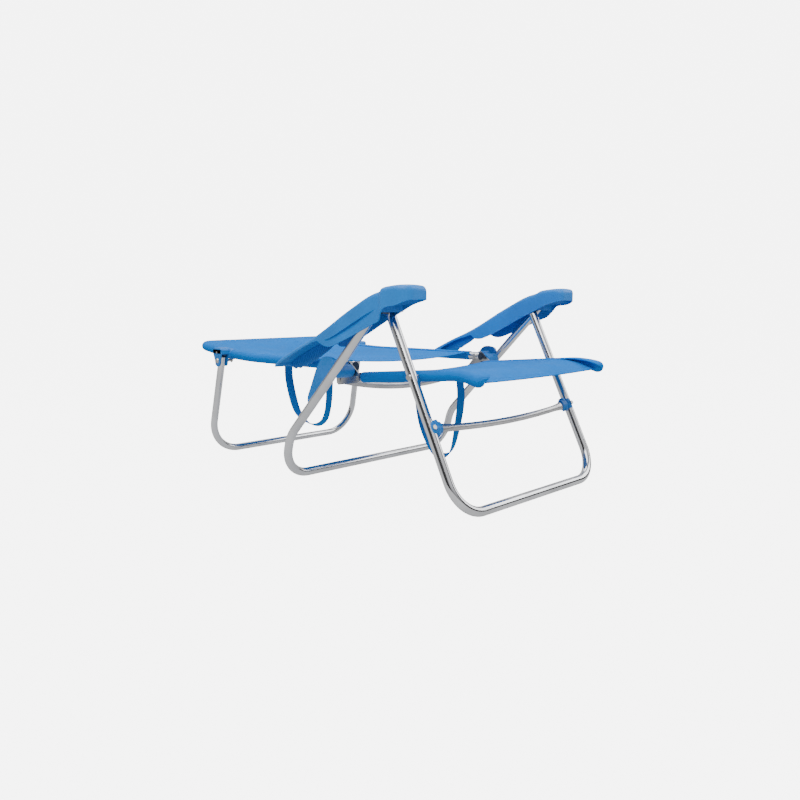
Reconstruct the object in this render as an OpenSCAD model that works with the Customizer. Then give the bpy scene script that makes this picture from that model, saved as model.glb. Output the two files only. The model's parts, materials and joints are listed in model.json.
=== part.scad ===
// Low reclining beach chair: tube frame on three U-shaped legs, sling seat and back,
// moulded armrests with a notched underside, webbing carrying loops.
// Axes: +Z up, front of the chair at -Y, X across. Origin on the floor under the middle of the chair.

/* [Tubes] */
// Diameter of the front and rear leg tubes
leg_tube_d = 22; // [16:0.5:28]
// Diameter of the seat and back side tubes
side_tube_d = 22; // [16:0.5:26]
// Diameter of the head-end leg tube
back_leg_tube_d = 20; // [14:0.5:24]
// Diameter of the cross brace between the front legs
brace_d = 16; // [12:0.5:20]
// Diameter of the bowed bar at the rear of the seat
rear_bar_d = 18; // [12:0.5:20]
// Wall of every tube
tube_wall = 1.4; // [1:0.1:2.5]

/* [Leg frames] */
// Height of the armrest axle, where front and rear legs meet
apex_z = 431; // [380:1:520]
// Lean of the front legs from vertical
front_lean = 26.3; // [18:0.1:32]
// Lean of the upper part of the rear legs from vertical
rear_lean = 44.3; // [38:0.1:48]
// Lean of their lower part, below the knee
rear_foot_lean = 14; // [8:0.5:20]
// Height of the knee above the middle of the floor bar
rear_knee_z = 105; // [103:1:150]
// Bend radius of the knee
rear_knee_r = 90; // [60:1:95]
// Half distance between the seat side tubes
seat_half_w = 237; // [190:1:290]
// Space between the seat side tubes and the front legs, surface to surface
front_leg_gap = 9; // [9:0.5:16]
// Space between front and rear legs at the axle, surface to surface
leg_space = 15; // [6:0.5:20]
// Bend radius of the leg frames on the centre line
leg_bend_r = 75; // [45:1:100]

/* [Seat] */
// Height of the seat rivet on the front leg
seat_rivet_z = 290; // [250:1:330]
// Drop of the seat towards the rear
seat_slope = 5.3; // [0:0.1:10]
// Straight seat tube behind the seat rivet
seat_rear_len = 209; // [190:1:260]
// Straight seat tube in front of the seat rivet
seat_front_len = 78; // [50:1:110]
// Radius of the drop at the front edge of the seat
seat_nose_r = 220; // [150:5:300]
// Angle of the drop at the front edge of the seat
seat_nose_angle = 20; // [10:1:30]
// Sag of the bowed bar at the rear of the seat
rear_bar_sag = 30; // [10:1:45]
// Thickness of the sling fabric
fabric_t = 1.6; // [1:0.1:2.4]

/* [Back] */
// Straight length of the back tubes behind the hinge
back_straight = 365; // [300:1:460]
// Radius of the upward curve towards the head
head_curve_r = 1420; // [900:10:2000]
// Angle of the upward curve towards the head
head_curve_angle = 10.1; // [5:0.1:14]
// Corner radius at the head end
head_corner_r = 55; // [35:1:80]
// Distance from the hinge to the notch pin
notch_pin_d = 163; // [135:1:200]
// Distance from the hinge to the head-end leg pivot
back_leg_pivot_d = 522; // [420:1:560]
// Depth of that pivot below the back tube
back_leg_pivot_drop = 26; // [20:1:34]
// Lean of the head-end leg from vertical
back_leg_lean = 12; // [5:0.5:20]

/* [Armrests] */
// Wall of the moulded armrests
arm_wall = 3.5; // [2.5:0.1:5]
// Space between the rear legs and the outer wall of the armrest
arm_side_gap = 1.5; // [1:0.1:4]
// Extra width of the front pad on its outer side
pad_extra = 8; // [4:0.5:24]
// Notches on the underside
notch_steps = 14; // [8:1:18]
// Radius of one notch
notch_r = 6.6; // [5:0.1:8]
// Radius of the end caps on the notch pins
roller_r = 5; // [4.5:0.1:6]

/* [Fits] */
// Radial clearance of a turning pin in its bore
pin_fit = 0.05; // [0.02:0.01:0.1]

/* [Webbing] */
// Width of the webbing loops
strap_w = 25; // [20:1:50]
// Thickness of the webbing
strap_t = 2; // [1.2:0.1:3]

/* [Hidden] */
$fn = 64;
round_fn = 64;
arc_steps = 10;
eps = 0.01;
leg_r = leg_tube_d / 2;
side_r = side_tube_d / 2;
bleg_r = back_leg_tube_d / 2;
brace_r = brace_d / 2;
rbar_r = rear_bar_d / 2;
sleeve_r = side_r + fabric_t;
pin_r = 4;
head_r = 7.5;
head_t = 2.2;
plate_t = 2.4;

// heights and distances of the leg triangle
floor_z = leg_r;
leg_drop = apex_z - floor_z;
front_len = leg_drop / cos(front_lean);
knee_d = (leg_drop - rear_knee_z) / cos(rear_lean);
foot_len = rear_knee_z / cos(rear_foot_lean);
knee_tan = rear_knee_r * tan((rear_lean - rear_foot_lean) / 2);
leg_top = 14;

// lateral positions
seat_out = seat_half_w + side_r;
front_half_w = seat_out + front_leg_gap + leg_r;
rear_half_w = front_half_w + 2 * leg_r + leg_space;
plate_in = seat_out + 0.1;
plate_out = plate_in + plate_t;
arm_in = seat_out + 4.5;
arm_out = rear_half_w + leg_r + arm_side_gap + arm_wall;
arm_w = arm_out - arm_in;
axle_in = arm_in - 0.2 - head_t;

// seat rivet and hinge, in the seat's own frame
rivet_from_bar = (seat_rivet_z - floor_z) * tan(front_lean);
rivet_down = (apex_z - seat_rivet_z) / cos(front_lean);
hinge_d = seat_rear_len + 13;
hinge_n = side_r + side_r + 5;
bar_d = hinge_d + 34;
bar_n = -4;
hinge_from_rivet = hinge_d * cos(seat_slope) + hinge_n * sin(seat_slope);
hinge_z = seat_rivet_z - hinge_d * sin(seat_slope) + hinge_n * cos(seat_slope);

// back head curve
head_y = back_straight + head_curve_r * sin(head_curve_angle);
head_z = head_curve_r * (1 - cos(head_curve_angle));

// the chair is centred on its length, from the seat's nose plugs to the head bar
nose_plug_t = 4;
nose_d = seat_front_len + seat_nose_r * sin(seat_nose_angle) + nose_plug_t * cos(seat_nose_angle);
nose_n = seat_nose_r * (1 - cos(seat_nose_angle)) + nose_plug_t * sin(seat_nose_angle);
nose_from_rivet = nose_d * cos(seat_slope) + nose_n * sin(seat_slope) + side_r * sin(seat_nose_angle - seat_slope);
head_from_hinge = head_y + head_corner_r * cos(head_curve_angle) + sleeve_r;
rivet_y = (nose_from_rivet - hinge_from_rivet - head_from_hinge) / 2;
hinge_y = rivet_y + hinge_from_rivet;
apex_y = rivet_y - rivet_from_bar + leg_drop * tan(front_lean);
knee_y = apex_y + knee_d * sin(rear_lean);
rear_y = knee_y + foot_len * sin(rear_foot_lean);

// brace on the front legs
brace_down = rivet_down + 118;
brace_sag = 12;

// armrest follows the back at this ratio, so that the pin keeps to the notches
back_travel = 70;
function pin_dir(a) = [hinge_y + notch_pin_d * cos(a) - apex_y, hinge_z + notch_pin_d * sin(a) - apex_z];
function dir_angle(v) = atan2(v[1], v[0]);
arm_ratio = 0.4;
function turned(v, a) = [v[0] * cos(a) - v[1] * sin(a), v[0] * sin(a) + v[1] * cos(a)];
function notch_at(a) = turned(pin_dir(a), -arm_ratio * a);
pin_flat = notch_at(0);
pin_up = notch_at(back_travel);

function back_rise(d) = d < back_straight ? 0 : head_curve_r - sqrt(head_curve_r * head_curve_r
    - (d - back_straight) * (d - back_straight));
back_pivot_n = back_rise(back_leg_pivot_d) - back_leg_pivot_drop;
back_pivot_z = hinge_z + back_pivot_n;
back_pivot_y = hinge_y + back_leg_pivot_d;
back_leg_half_w = seat_half_w + sleeve_r + 2.8 + bleg_r;
back_leg_len = (back_pivot_z - bleg_r) / cos(back_leg_lean);
prong_in = back_leg_half_w + bleg_r + 1;
prong_t = 4;
roof_n = 18;

// parts of the armrest outline, from the axle; behind it they keep to the lowest notch
arm_reach = pin_flat[0];
arm_fall = -pin_flat[1];
arm_front = -102;
arm_rear = arm_reach + 20;
arm_top = [
    [arm_front, 26],
    [arm_front + 3, 40],
    [arm_front + 10, 47],
    [arm_front + 20, 50],
    [-60, 50],
    [-22, 44],
    [13, 31],
    [0.14 * arm_reach, 0.15 * arm_fall],
    [0.24 * arm_reach, 0.04 * arm_fall],
    [0.34 * arm_reach, -0.08 * arm_fall],
    [0.45 * arm_reach, -0.24 * arm_fall],
    [0.56 * arm_reach, -0.40 * arm_fall],
    [arm_rear - 72, 42 - arm_fall],
    [arm_rear - 12, 17 - arm_fall],
    [arm_rear, 9 - arm_fall]
];
arm_low = [
    [arm_rear, -9 - arm_fall],
    [arm_rear - 40, -6 - arm_fall],
    [arm_rear - 84, 9 - arm_fall],
    [0.64 * arm_reach, -0.68 * arm_fall],
    [0.45 * arm_reach, -0.62 * arm_fall],
    [0.29 * arm_reach, -0.52 * arm_fall],
    [0.136 * arm_reach, -0.31 * arm_fall],
    [-13, -16],
    [-36, 4],
    [-58, 12],
    [-80, 18]
];
pad_end = -20;

// colours
aluminium = [0.80, 0.81, 0.83];
steel = [0.62, 0.63, 0.65];
blue = [0.10, 0.42, 0.72];
arm_blue = [0.16, 0.55, 0.84];
sling_blue = [0.08, 0.38, 0.66];
dark = [0.10, 0.12, 0.16];

// ---------- shared shapes ----------

// one piece on the +X side or its mirror image on the -X side
module on_side(s) {
    if (s > 0) children();
    else mirror([1, 0, 0]) children();
}

// the same shape on both sides
module both_sides() {
    children();
    mirror([1, 0, 0]) children();
}

// straight round rod along X from x0 to x1
module rod_x(x0, x1, r) {
    translate([x0, 0, 0]) rotate([0, 90, 0]) cylinder(r = r, h = x1 - x0);
}

// round arc in the YZ plane about [cy, cz]
module arc_yz(cy, cz, arc_r, a0, a1, r) {
    translate([0, cy, cz]) rotate([90, 0, 90]) rotate([0, 0, a0])
        rotate_extrude(angle = a1 - a0, $fn = ceil(arc_steps * 360 / (a1 - a0)))
            translate([arc_r, 0]) circle(r = r, $fn = round_fn);
}

// shallow bow across X with its ends at height 0, its middle down by sag
module bow(half, sag, r) {
    arc_r = (half * half + sag * sag) / (2 * sag);
    a = asin(half / arc_r);
    translate([0, 0, arc_r - sag]) rotate([90, 0, 0]) rotate([0, 0, -90 - a])
        rotate_extrude(angle = 2 * a, $fn = ceil(arc_steps * 180 / a))
            translate([arc_r, 0]) circle(r = r, $fn = round_fn);
}

// U-shaped leg frame in the XZ plane, axle at the origin, floor bar below
module u_solid(half, len, top, bend, r) {
    both_sides() {
        translate([half, 0, bend - len]) cylinder(r = r, h = len - bend + top);
        translate([half - bend, 0, bend - len]) rotate([90, 0, 0]) rotate([0, 0, -90])
            rotate_extrude(angle = 90) translate([bend, 0]) circle(r = r);
    }
    translate([0, 0, -len]) rod_x(bend - half, half - bend, r);
}

// the same frame as a tube
module u_tube(half, len, top, bend, r) {
    difference() {
        u_solid(half, len, top, bend, r);
        u_solid(half, len, top + 1, bend, r - tube_wall);
    }
}

// domed rivet head facing +X
module head_out(x) {
    translate([x, 0, 0]) rotate([0, 90, 0]) cylinder(r1 = head_r, r2 = head_r - 1.6, h = head_t);
}

// domed rivet head facing -X
module head_in(x) {
    translate([x, 0, 0]) rotate([0, 90, 0]) cylinder(r1 = head_r - 1.6, r2 = head_r, h = head_t);
}

// flat plate with an outline in the YZ plane, t thick along +X
module plate_yz(points, t) {
    rotate([90, 0, 90]) linear_extrude(height = t) polygon(points);
}

// hanging U of webbing through four points of the YZ plane
module webbing_loop(a, b, c, d) {
    t = strap_t;
    translate([-strap_w / 2, 0, 0]) plate_yz([a, b, c, d, d - [t, 0], c + [-t, t], b + [t, t], a + [t, 0]], strap_w);
}

// ---------- placing of the bodies ----------

module in_front_legs() {
    translate([0, apex_y, apex_z]) rotate([-front_lean, 0, 0]) children();
}

module in_rear_legs() {
    translate([0, apex_y, apex_z]) rotate([rear_lean, 0, 0]) children();
}

module in_seat() {
    translate([0, rivet_y, seat_rivet_z]) rotate([-seat_slope, 0, 0]) children();
}

module in_back() {
    translate([0, hinge_y, hinge_z]) children();
}

module in_back_leg() {
    translate([0, back_pivot_y, back_pivot_z]) rotate([back_leg_lean, 0, 0]) children();
}

// ---------- front legs ----------

module front_leg_frame() {
    color(aluminium) in_front_legs() difference() {
        u_tube(front_half_w, front_len, leg_top, leg_bend_r, leg_r);
        both_sides() {
            rod_x(front_half_w - 2 * leg_r, front_half_w + 2 * leg_r, pin_r + pin_fit);
            translate([0, 0, -rivet_down])
                rod_x(front_half_w - 2 * leg_r, front_half_w + 2 * leg_r, pin_r);
        }
    }
}

module front_leg_plugs() {
    color(dark) in_front_legs() both_sides() translate([front_half_w, 0, leg_top]) {
        cylinder(r = leg_r, h = 2.5);
        translate([0, 0, -6]) cylinder(r = leg_r - tube_wall, h = 6 + eps);
    }
}

module brace_place() {
    in_front_legs() translate([0, 0, -brace_down]) children();
}

brace_half = front_half_w - leg_r - 5;

module brace_clip(turn) {
    color(blue) brace_place() rotate([0, 0, turn]) difference() {
        translate([front_half_w, 0, 0]) {
            translate([0, 0, -11]) cylinder(r = leg_r + 3.4, h = 22);
            rod_x(-leg_r - 17, -leg_r - 1, brace_r + 3);
        }
        translate([front_half_w, 0, -20]) cylinder(r = leg_r, h = 40);
        bow(brace_half, brace_sag, brace_r);
    }
}

module brace_clip_left() {
    brace_clip(180);
}

module brace_clip_right() {
    brace_clip(0);
}

module front_brace() {
    color(aluminium) brace_place() difference() {
        bow(brace_half, brace_sag, brace_r);
        bow(brace_half + 1, brace_sag, brace_r - tube_wall);
    }
}

module brace_rivets() {
    color(steel) brace_place() both_sides() translate([front_half_w, -leg_r - 3.4 - 1.5, 0])
        rotate([-90, 0, 0]) cylinder(r = 5, h = 1.5);
}

module seat_rivets() {
    color(steel) in_front_legs() translate([0, 0, -rivet_down]) both_sides() {
        rod_x(seat_half_w - side_r - head_t - 0.2, front_half_w + leg_r + 0.2, pin_r);
        head_in(seat_half_w - side_r - head_t - 0.3);
        head_out(front_half_w + leg_r);
    }
}

// ---------- rear legs ----------

// upper length of one rear leg: straight from the axle, then the knee
module rear_leg_solid(r, end_extra) {
    in_rear_legs() translate([rear_half_w, 0, knee_tan - knee_d])
        cylinder(r = r, h = knee_d - knee_tan + leg_top + end_extra);
    translate([rear_half_w, 0, 0]) arc_yz(
        apex_y + (knee_d - knee_tan) * sin(rear_lean) - rear_knee_r * cos(rear_lean),
        apex_z - (knee_d - knee_tan) * cos(rear_lean) - rear_knee_r * sin(rear_lean),
        rear_knee_r, rear_foot_lean, rear_lean, r);
}

module rear_leg() {
    color(aluminium) difference() {
        rear_leg_solid(leg_r, 0);
        rear_leg_solid(leg_r - tube_wall, 1);
        in_rear_legs() rod_x(rear_half_w - 2 * leg_r, rear_half_w + 2 * leg_r, pin_r);
    }
}

module rear_leg_left() {
    mirror([1, 0, 0]) rear_leg();
}

module rear_leg_right() {
    rear_leg();
}

// lower length of both rear legs with their floor bar
module rear_leg_frame() {
    color(aluminium) translate([0, knee_y, floor_z + rear_knee_z]) rotate([rear_foot_lean, 0, 0])
        u_tube(rear_half_w, foot_len, -knee_tan, leg_bend_r, leg_r);
}

module rear_leg_plugs() {
    color(dark) in_rear_legs() both_sides() translate([rear_half_w, 0, leg_top]) {
        cylinder(r = leg_r, h = 2.5);
        translate([0, 0, -6]) cylinder(r = leg_r - tube_wall, h = 6 + eps);
    }
}

module arm_axles() {
    color(steel) translate([0, apex_y, apex_z]) both_sides() {
        rod_x(axle_in + eps, arm_out + 0.2 + eps, pin_r);
        head_in(axle_in);
        head_out(arm_out + 0.2);
    }
}

module axle_washers() {
    color(dark) translate([0, apex_y, apex_z]) both_sides() difference() {
        rod_x(front_half_w + leg_r + 0.4, rear_half_w - leg_r - 0.6, 10);
        rod_x(front_half_w, rear_half_w, pin_r);
    }
}

spacer_down = 200;
spacer_back = hinge_y - apex_y - spacer_down * sin(rear_lean);
spacer_up = hinge_z - apex_z + spacer_down * cos(rear_lean);

module hinge_spacer() {
    color(blue) difference() {
        translate([0, apex_y, apex_z]) rotate([rear_lean, 0, 0]) translate([0, 0, -spacer_down])
            rotate([-rear_lean, 0, 0]) {
                rod_x(plate_out + head_t + 1, rear_half_w + leg_r + 2.5, 15);
                translate([0, spacer_back, spacer_up]) rod_x(plate_out + head_t + 1, rear_half_w - leg_r - 4, 13);
                translate([plate_out + head_t + 1, 0, -9])
                    cube([rear_half_w - leg_r - 4 - plate_out - head_t - 1, spacer_back, 18]);
            }
        in_rear_legs() translate([rear_half_w, 0, -knee_d]) cylinder(r = leg_r, h = knee_d);
    }
}

module hinge_spacer_left() {
    mirror([1, 0, 0]) hinge_spacer();
}

module hinge_spacer_right() {
    hinge_spacer();
}

module spacer_rivets() {
    color(steel) in_rear_legs() translate([0, 0, -spacer_down]) both_sides()
        head_out(rear_half_w + leg_r + 2.5);
}

link_t = 6;
link_x = rear_half_w - 7;

module leg_link() {
    color(blue) in_rear_legs() difference() {
        translate([link_x, 0, 0]) plate_yz([
            [6, -spacer_down - 20],
            [14, -spacer_down - 14],
            [22, -spacer_down + 2],
            [24, -spacer_down + 14],
            [34, -spacer_down + 14],
            [46, -spacer_down + 2],
            [50, -spacer_down - 15],
            [46, -spacer_down - 45],
            [37, -spacer_down - 72],
            [25, -spacer_down - 110],
            [12, -spacer_down - 121],
            [6, -spacer_down - 121]
        ], link_t);
        translate([0, 0, -spacer_down]) rod_x(link_x - 1, link_x + link_t + 1, 15.5);
        translate([rear_half_w, 0, -knee_d]) cylinder(r = leg_r, h = knee_d);
    }
}

module leg_link_left() {
    mirror([1, 0, 0]) leg_link();
}

module leg_link_right() {
    leg_link();
}

module link_rivets() {
    color(steel) in_rear_legs() both_sides() translate([link_x + link_t, leg_r + 5, -spacer_down - 106])
        rotate([0, 90, 0]) cylinder(r = 3.5, h = 1.5);
}

// ---------- seat ----------

module seat_side_solid(r) {
    translate([seat_half_w, 0, 0]) {
        translate([0, -seat_front_len, 0]) rotate([-90, 0, 0]) cylinder(r = r, h = seat_front_len + seat_rear_len);
        arc_yz(-seat_front_len, -seat_nose_r, seat_nose_r, 90, 90 + seat_nose_angle, r);
    }
}

module seat_tube() {
    color(aluminium) in_seat() difference() {
        seat_side_solid(side_r);
        seat_side_solid(side_r - tube_wall);
        translate([seat_half_w - tube_wall, seat_rear_len, 0]) rotate([90, 0, 0])
            translate([tube_wall, 0, -1]) cylinder(r = side_r - tube_wall, h = 3);
        rod_x(seat_half_w - 2 * side_r, seat_half_w + 2 * side_r, pin_r + pin_fit);
        translate([0, seat_rear_len - 12, 0]) rod_x(seat_half_w - 2 * side_r, seat_half_w + 2 * side_r, 3);
    }
}

module seat_tube_left() {
    mirror([1, 0, 0]) seat_tube();
}

module seat_tube_right() {
    seat_tube();
}

module nose_place() {
    translate([seat_half_w, -seat_front_len, -seat_nose_r]) rotate([seat_nose_angle, 0, 0])
        translate([0, 0, seat_nose_r]) rotate([90, 0, 0]) children();
}

module seat_nose_plugs() {
    color(dark) in_seat() both_sides() nose_place() {
        cylinder(r = side_r, h = nose_plug_t);
        translate([0, 0, -8]) cylinder(r = side_r - tube_wall - 0.2, h = 8 + eps);
    }
}

module seat_rear_bar() {
    color(aluminium) in_seat() translate([0, bar_d, bar_n]) difference() {
        bow(plate_in - 0.5, rear_bar_sag, rbar_r);
        bow(plate_in + 1, rear_bar_sag, rbar_r - tube_wall);
        both_sides() translate([plate_in, -rear_bar_d, -rear_bar_d]) cube([10, 2 * rear_bar_d, 2 * rear_bar_d]);
    }
}

module hinge_plate() {
    color(steel) in_seat() difference() {
        translate([plate_in, 0, 0]) rotate([90, 0, 90]) linear_extrude(height = plate_t)
            polygon([
                [seat_rear_len - 24, -8],
                [seat_rear_len - 24, 8],
                [hinge_d - 12, hinge_n + 6],
                [hinge_d - 5, hinge_n + 12],
                [hinge_d + 5, hinge_n + 12],
                [hinge_d + 12, hinge_n + 5],
                [bar_d + 10, bar_n + 5],
                [bar_d + 10, bar_n - 7],
                [bar_d + 4, bar_n - 12],
                [seat_rear_len - 16, -12]
            ]);
        translate([0, hinge_d, hinge_n]) rod_x(plate_in - 5, plate_out + 5, pin_r);
        translate([0, seat_rear_len - 12, 0]) rod_x(plate_in - 5, plate_out + 5, 3);
        translate([0, bar_d, bar_n]) rod_x(plate_in - 5, plate_out + 5, 3);
    }
}

module hinge_plate_left() {
    mirror([1, 0, 0]) hinge_plate();
}

module hinge_plate_right() {
    hinge_plate();
}

module plate_rivets() {
    color(steel) in_seat() both_sides() {
        translate([0, seat_rear_len - 12, 0]) {
            rod_x(seat_half_w - side_r - 1, plate_out + eps, 3);
            translate([plate_out, 0, 0]) rotate([0, 90, 0]) cylinder(r = 5, h = 1.6);
            translate([seat_half_w - side_r - 1.6, 0, 0]) rotate([0, 90, 0]) cylinder(r = 4, h = 1.2);
        }
        translate([0, bar_d, bar_n]) {
            rod_x(plate_in - 4, plate_out + eps, 3);
            translate([plate_out, 0, 0]) rotate([0, 90, 0]) cylinder(r = 5, h = 1.6);
        }
    }
}

module hinge_pins() {
    color(steel) in_seat() translate([0, hinge_d, hinge_n]) both_sides() {
        rod_x(seat_half_w - side_r - 0.6, plate_out + eps, pin_r);
        head_out(plate_out);
        head_in(seat_half_w - side_r - 0.5 - head_t);
    }
}

module seat_sleeve_solid(r, rear_end) {
    translate([seat_half_w, 0, 0]) {
        translate([0, -seat_front_len, 0]) rotate([-90, 0, 0]) cylinder(r = r, h = seat_front_len + rear_end);
        arc_yz(-seat_front_len, -seat_nose_r, seat_nose_r, 90, 90 + seat_nose_angle, r);
    }
}

module seat_fabric() {
    nose = seat_nose_r * sin(seat_nose_angle);
    fall = seat_nose_r * (1 - cos(seat_nose_angle));
    top = side_r - 1;
    color(sling_blue) in_seat() difference() {
        union() {
            both_sides() seat_sleeve_solid(sleeve_r, seat_rear_len - 26);
            translate([-seat_half_w, 0, 0]) plate_yz([
                [seat_rear_len - 27, top],
                [-seat_front_len, top],
                [-seat_front_len - nose / 2, top - fall / 4 - 1],
                [-seat_front_len - nose + 1, top - fall - 1],
                [-seat_front_len - nose + 1, top - fall - 4],
                [-seat_front_len - nose / 2, top - fall / 4 - 4],
                [-seat_front_len, top - 3],
                [seat_rear_len - 27, top - 3]
            ], 2 * seat_half_w);
        }
        both_sides() {
            seat_sleeve_solid(side_r, seat_rear_len);
            rod_x(seat_half_w - 2 * side_r, seat_half_w + 2 * side_r, head_r + 0.5);
        }
    }
}

// hanging webbing loop under the seat
loop_x = -150;
loop_y = rivet_y - 20;
loop_low = 108;
module strap_front() {
    color(blue) translate([loop_x, 0, 0]) webbing_loop([loop_y - 40, seat_rivet_z - 6], [loop_y - 8, loop_low],
        [loop_y + 66, loop_low - 6], [loop_y + 104, seat_rivet_z - 18]);
}

// ---------- back ----------

module back_side_solid(r, end_extra) {
    translate([seat_half_w, 0, 0]) {
        translate([0, -side_r - end_extra, 0]) rotate([-90, 0, 0]) cylinder(r = r, h = back_straight + side_r + end_extra);
        arc_yz(back_straight, head_curve_r, head_curve_r, -90, -90 + head_curve_angle, r);
    }
}

module in_head() {
    translate([0, head_y, head_z]) rotate([head_curve_angle, 0, 0]) children();
}

module head_solid(r) {
    both_sides() translate([seat_half_w - head_corner_r, 0, 0])
        rotate_extrude(angle = 90) translate([head_corner_r, 0]) circle(r = r);
    translate([0, head_corner_r, 0]) rod_x(head_corner_r - seat_half_w, seat_half_w - head_corner_r, r);
}

module back_tube() {
    color(aluminium) in_back() difference() {
        back_side_solid(side_r, 0);
        back_side_solid(side_r - tube_wall, 1);
        rod_x(seat_half_w - 2 * side_r, seat_half_w + 2 * side_r, pin_r + pin_fit);
        translate([0, notch_pin_d, 0]) rod_x(seat_half_w - 2 * side_r, seat_half_w + 2 * side_r, pin_r);
    }
}

module back_tube_left() {
    mirror([1, 0, 0]) back_tube();
}

module back_tube_right() {
    back_tube();
}

module head_bar() {
    color(aluminium) in_back() in_head() difference() {
        head_solid(side_r);
        head_solid(side_r - tube_wall);
    }
}

module back_tube_plugs() {
    color(dark) in_back() both_sides() translate([seat_half_w, -side_r, 0]) rotate([90, 0, 0]) cylinder(r = side_r, h = 2);
}

module back_sleeve_solid(r) {
    translate([seat_half_w, 0, 0]) {
        translate([0, 24, 0]) rotate([-90, 0, 0]) cylinder(r = r, h = back_straight - 24);
        arc_yz(back_straight, head_curve_r, head_curve_r, -90, -90 + head_curve_angle, r);
    }
}

module back_fabric() {
    curve = head_y - back_straight;
    top = side_r - 1;
    color(sling_blue) in_back() difference() {
        union() {
            both_sides() back_sleeve_solid(sleeve_r);
            translate([-seat_half_w, 0, 0]) plate_yz([
                [25, top],
                [back_straight, top],
                [back_straight + curve / 2, top + head_z / 4],
                [head_y - 1, top + head_z],
                [head_y - 1, top + head_z - 3],
                [back_straight + curve / 2, top + head_z / 4 - 3],
                [back_straight, top - 3],
                [25, top - 3]
            ], 2 * seat_half_w);
        }
        both_sides() {
            back_side_solid(side_r, 0);
            translate([0, notch_pin_d, 0])
                rod_x(seat_half_w - 2 * side_r, seat_half_w + 2 * side_r, head_r + 0.5);
        }
    }
}

module head_fabric() {
    color(sling_blue) in_back() in_head() difference() {
        union() {
            translate([0, head_corner_r, 0])
                rod_x(head_corner_r - seat_half_w, seat_half_w - head_corner_r, sleeve_r);
            translate([head_corner_r - seat_half_w, 2, side_r - 4])
                cube([2 * (seat_half_w - head_corner_r), head_corner_r - 2, 3]);
        }
        head_solid(side_r);
    }
}

module notch_pins() {
    color(steel) in_back() translate([0, notch_pin_d, 0]) both_sides() {
        rod_x(seat_half_w - side_r - 0.5, arm_in + arm_wall + 6, pin_r);
        head_in(seat_half_w - side_r - head_t - 0.4);
    }
}

module notch_rollers() {
    color(dark) in_back() translate([0, notch_pin_d, 0]) both_sides()
        translate([arm_in + arm_wall + 6, 0, 0]) rotate([0, 90, 0]) cylinder(r = roller_r, h = head_t);
}

module back_leg_bracket() {
    color(blue) in_back() difference() {
        union() {
            translate([0, back_leg_pivot_d, back_pivot_n])
                rod_x(seat_half_w - 6, seat_half_w + sleeve_r + 2.4, 12);
            translate([seat_half_w - 6, back_leg_pivot_d - 12, back_pivot_n])
                cube([sleeve_r + 8.4, 24, back_leg_pivot_drop]);
            translate([seat_half_w, back_leg_pivot_d - 20, back_rise(back_leg_pivot_d)]) rotate([-90, 0, 0])
                cylinder(r = sleeve_r + 2.4, h = 40);
            translate([seat_half_w, back_leg_pivot_d - 19, back_pivot_n + roof_n])
                cube([prong_in + prong_t - seat_half_w - eps, 38, back_leg_pivot_drop - roof_n + 4]);
            translate([prong_in, back_leg_pivot_d, back_pivot_n]) plate_yz([
                [-20, back_leg_pivot_drop + 5],
                [20, back_leg_pivot_drop + 5],
                [20, roof_n],
                [9, -14],
                [-9, -14],
                [-20, roof_n]
            ], prong_t);
        }
        translate([0, back_leg_pivot_d, back_pivot_n])
            rod_x(seat_half_w - 10, prong_in + prong_t + 10, pin_r);
        back_sleeve_solid(sleeve_r);
        translate([seat_half_w - 3 * side_r, back_leg_pivot_d - 30, back_rise(back_leg_pivot_d) + 4])
            cube([3 * side_r, 60, 3 * side_r]);
    }
}

module back_leg_bracket_left() {
    mirror([1, 0, 0]) back_leg_bracket();
}

module back_leg_bracket_right() {
    back_leg_bracket();
}

module bracket_rivets() {
    color(steel) in_back() both_sides()
        translate([prong_in + prong_t, back_leg_pivot_d, back_pivot_n + roof_n + 5]) rotate([0, 90, 0])
            cylinder(r = 3, h = 1.2);
}

module back_leg_pins() {
    color(steel) in_back() translate([0, back_leg_pivot_d, back_pivot_n]) both_sides() {
        rod_x(seat_half_w - 6, prong_in + prong_t + eps, pin_r);
        head_out(prong_in + prong_t);
        head_in(seat_half_w - 6 - head_t);
    }
}

// hanging webbing loop under the back
rear_loop_x = -178;
module strap_rear() {
    color(blue) in_back() translate([rear_loop_x, 0, 0]) webbing_loop([112, -side_r - 6], [148, -158],
        [206, -140], [222, -side_r - 6]);
}

// ---------- head-end leg ----------

module back_leg_frame() {
    color(aluminium) in_back_leg() difference() {
        u_tube(back_leg_half_w, back_leg_len, 11, leg_bend_r - 15, bleg_r);
        both_sides() rod_x(back_leg_half_w - 2 * bleg_r, back_leg_half_w + 2 * bleg_r, pin_r + pin_fit);
    }
}

module back_leg_plugs() {
    color(dark) in_back_leg() both_sides() translate([back_leg_half_w, 0, 11]) cylinder(r = bleg_r, h = 2);
}

// ---------- armrests ----------

module in_arm() {
    translate([0, apex_y, apex_z]) children();
}

// outline of the side of the armrest, drawn across X from x0 to x1
module arm_slab(points, x0, x1) {
    translate([x0, 0, 0]) rotate([90, 0, 90]) linear_extrude(height = x1 - x0) polygon(points);
}

arm_front_top = [for (p = arm_top) if (p[0] < pad_end) p];
arm_front_low = [for (p = arm_low) if (p[0] < pad_end) p];
function sunk(points, x_lo, x_hi, drop) = [for (p = points) [max(x_lo, min(x_hi, p[0])), p[1] - drop]];

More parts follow.
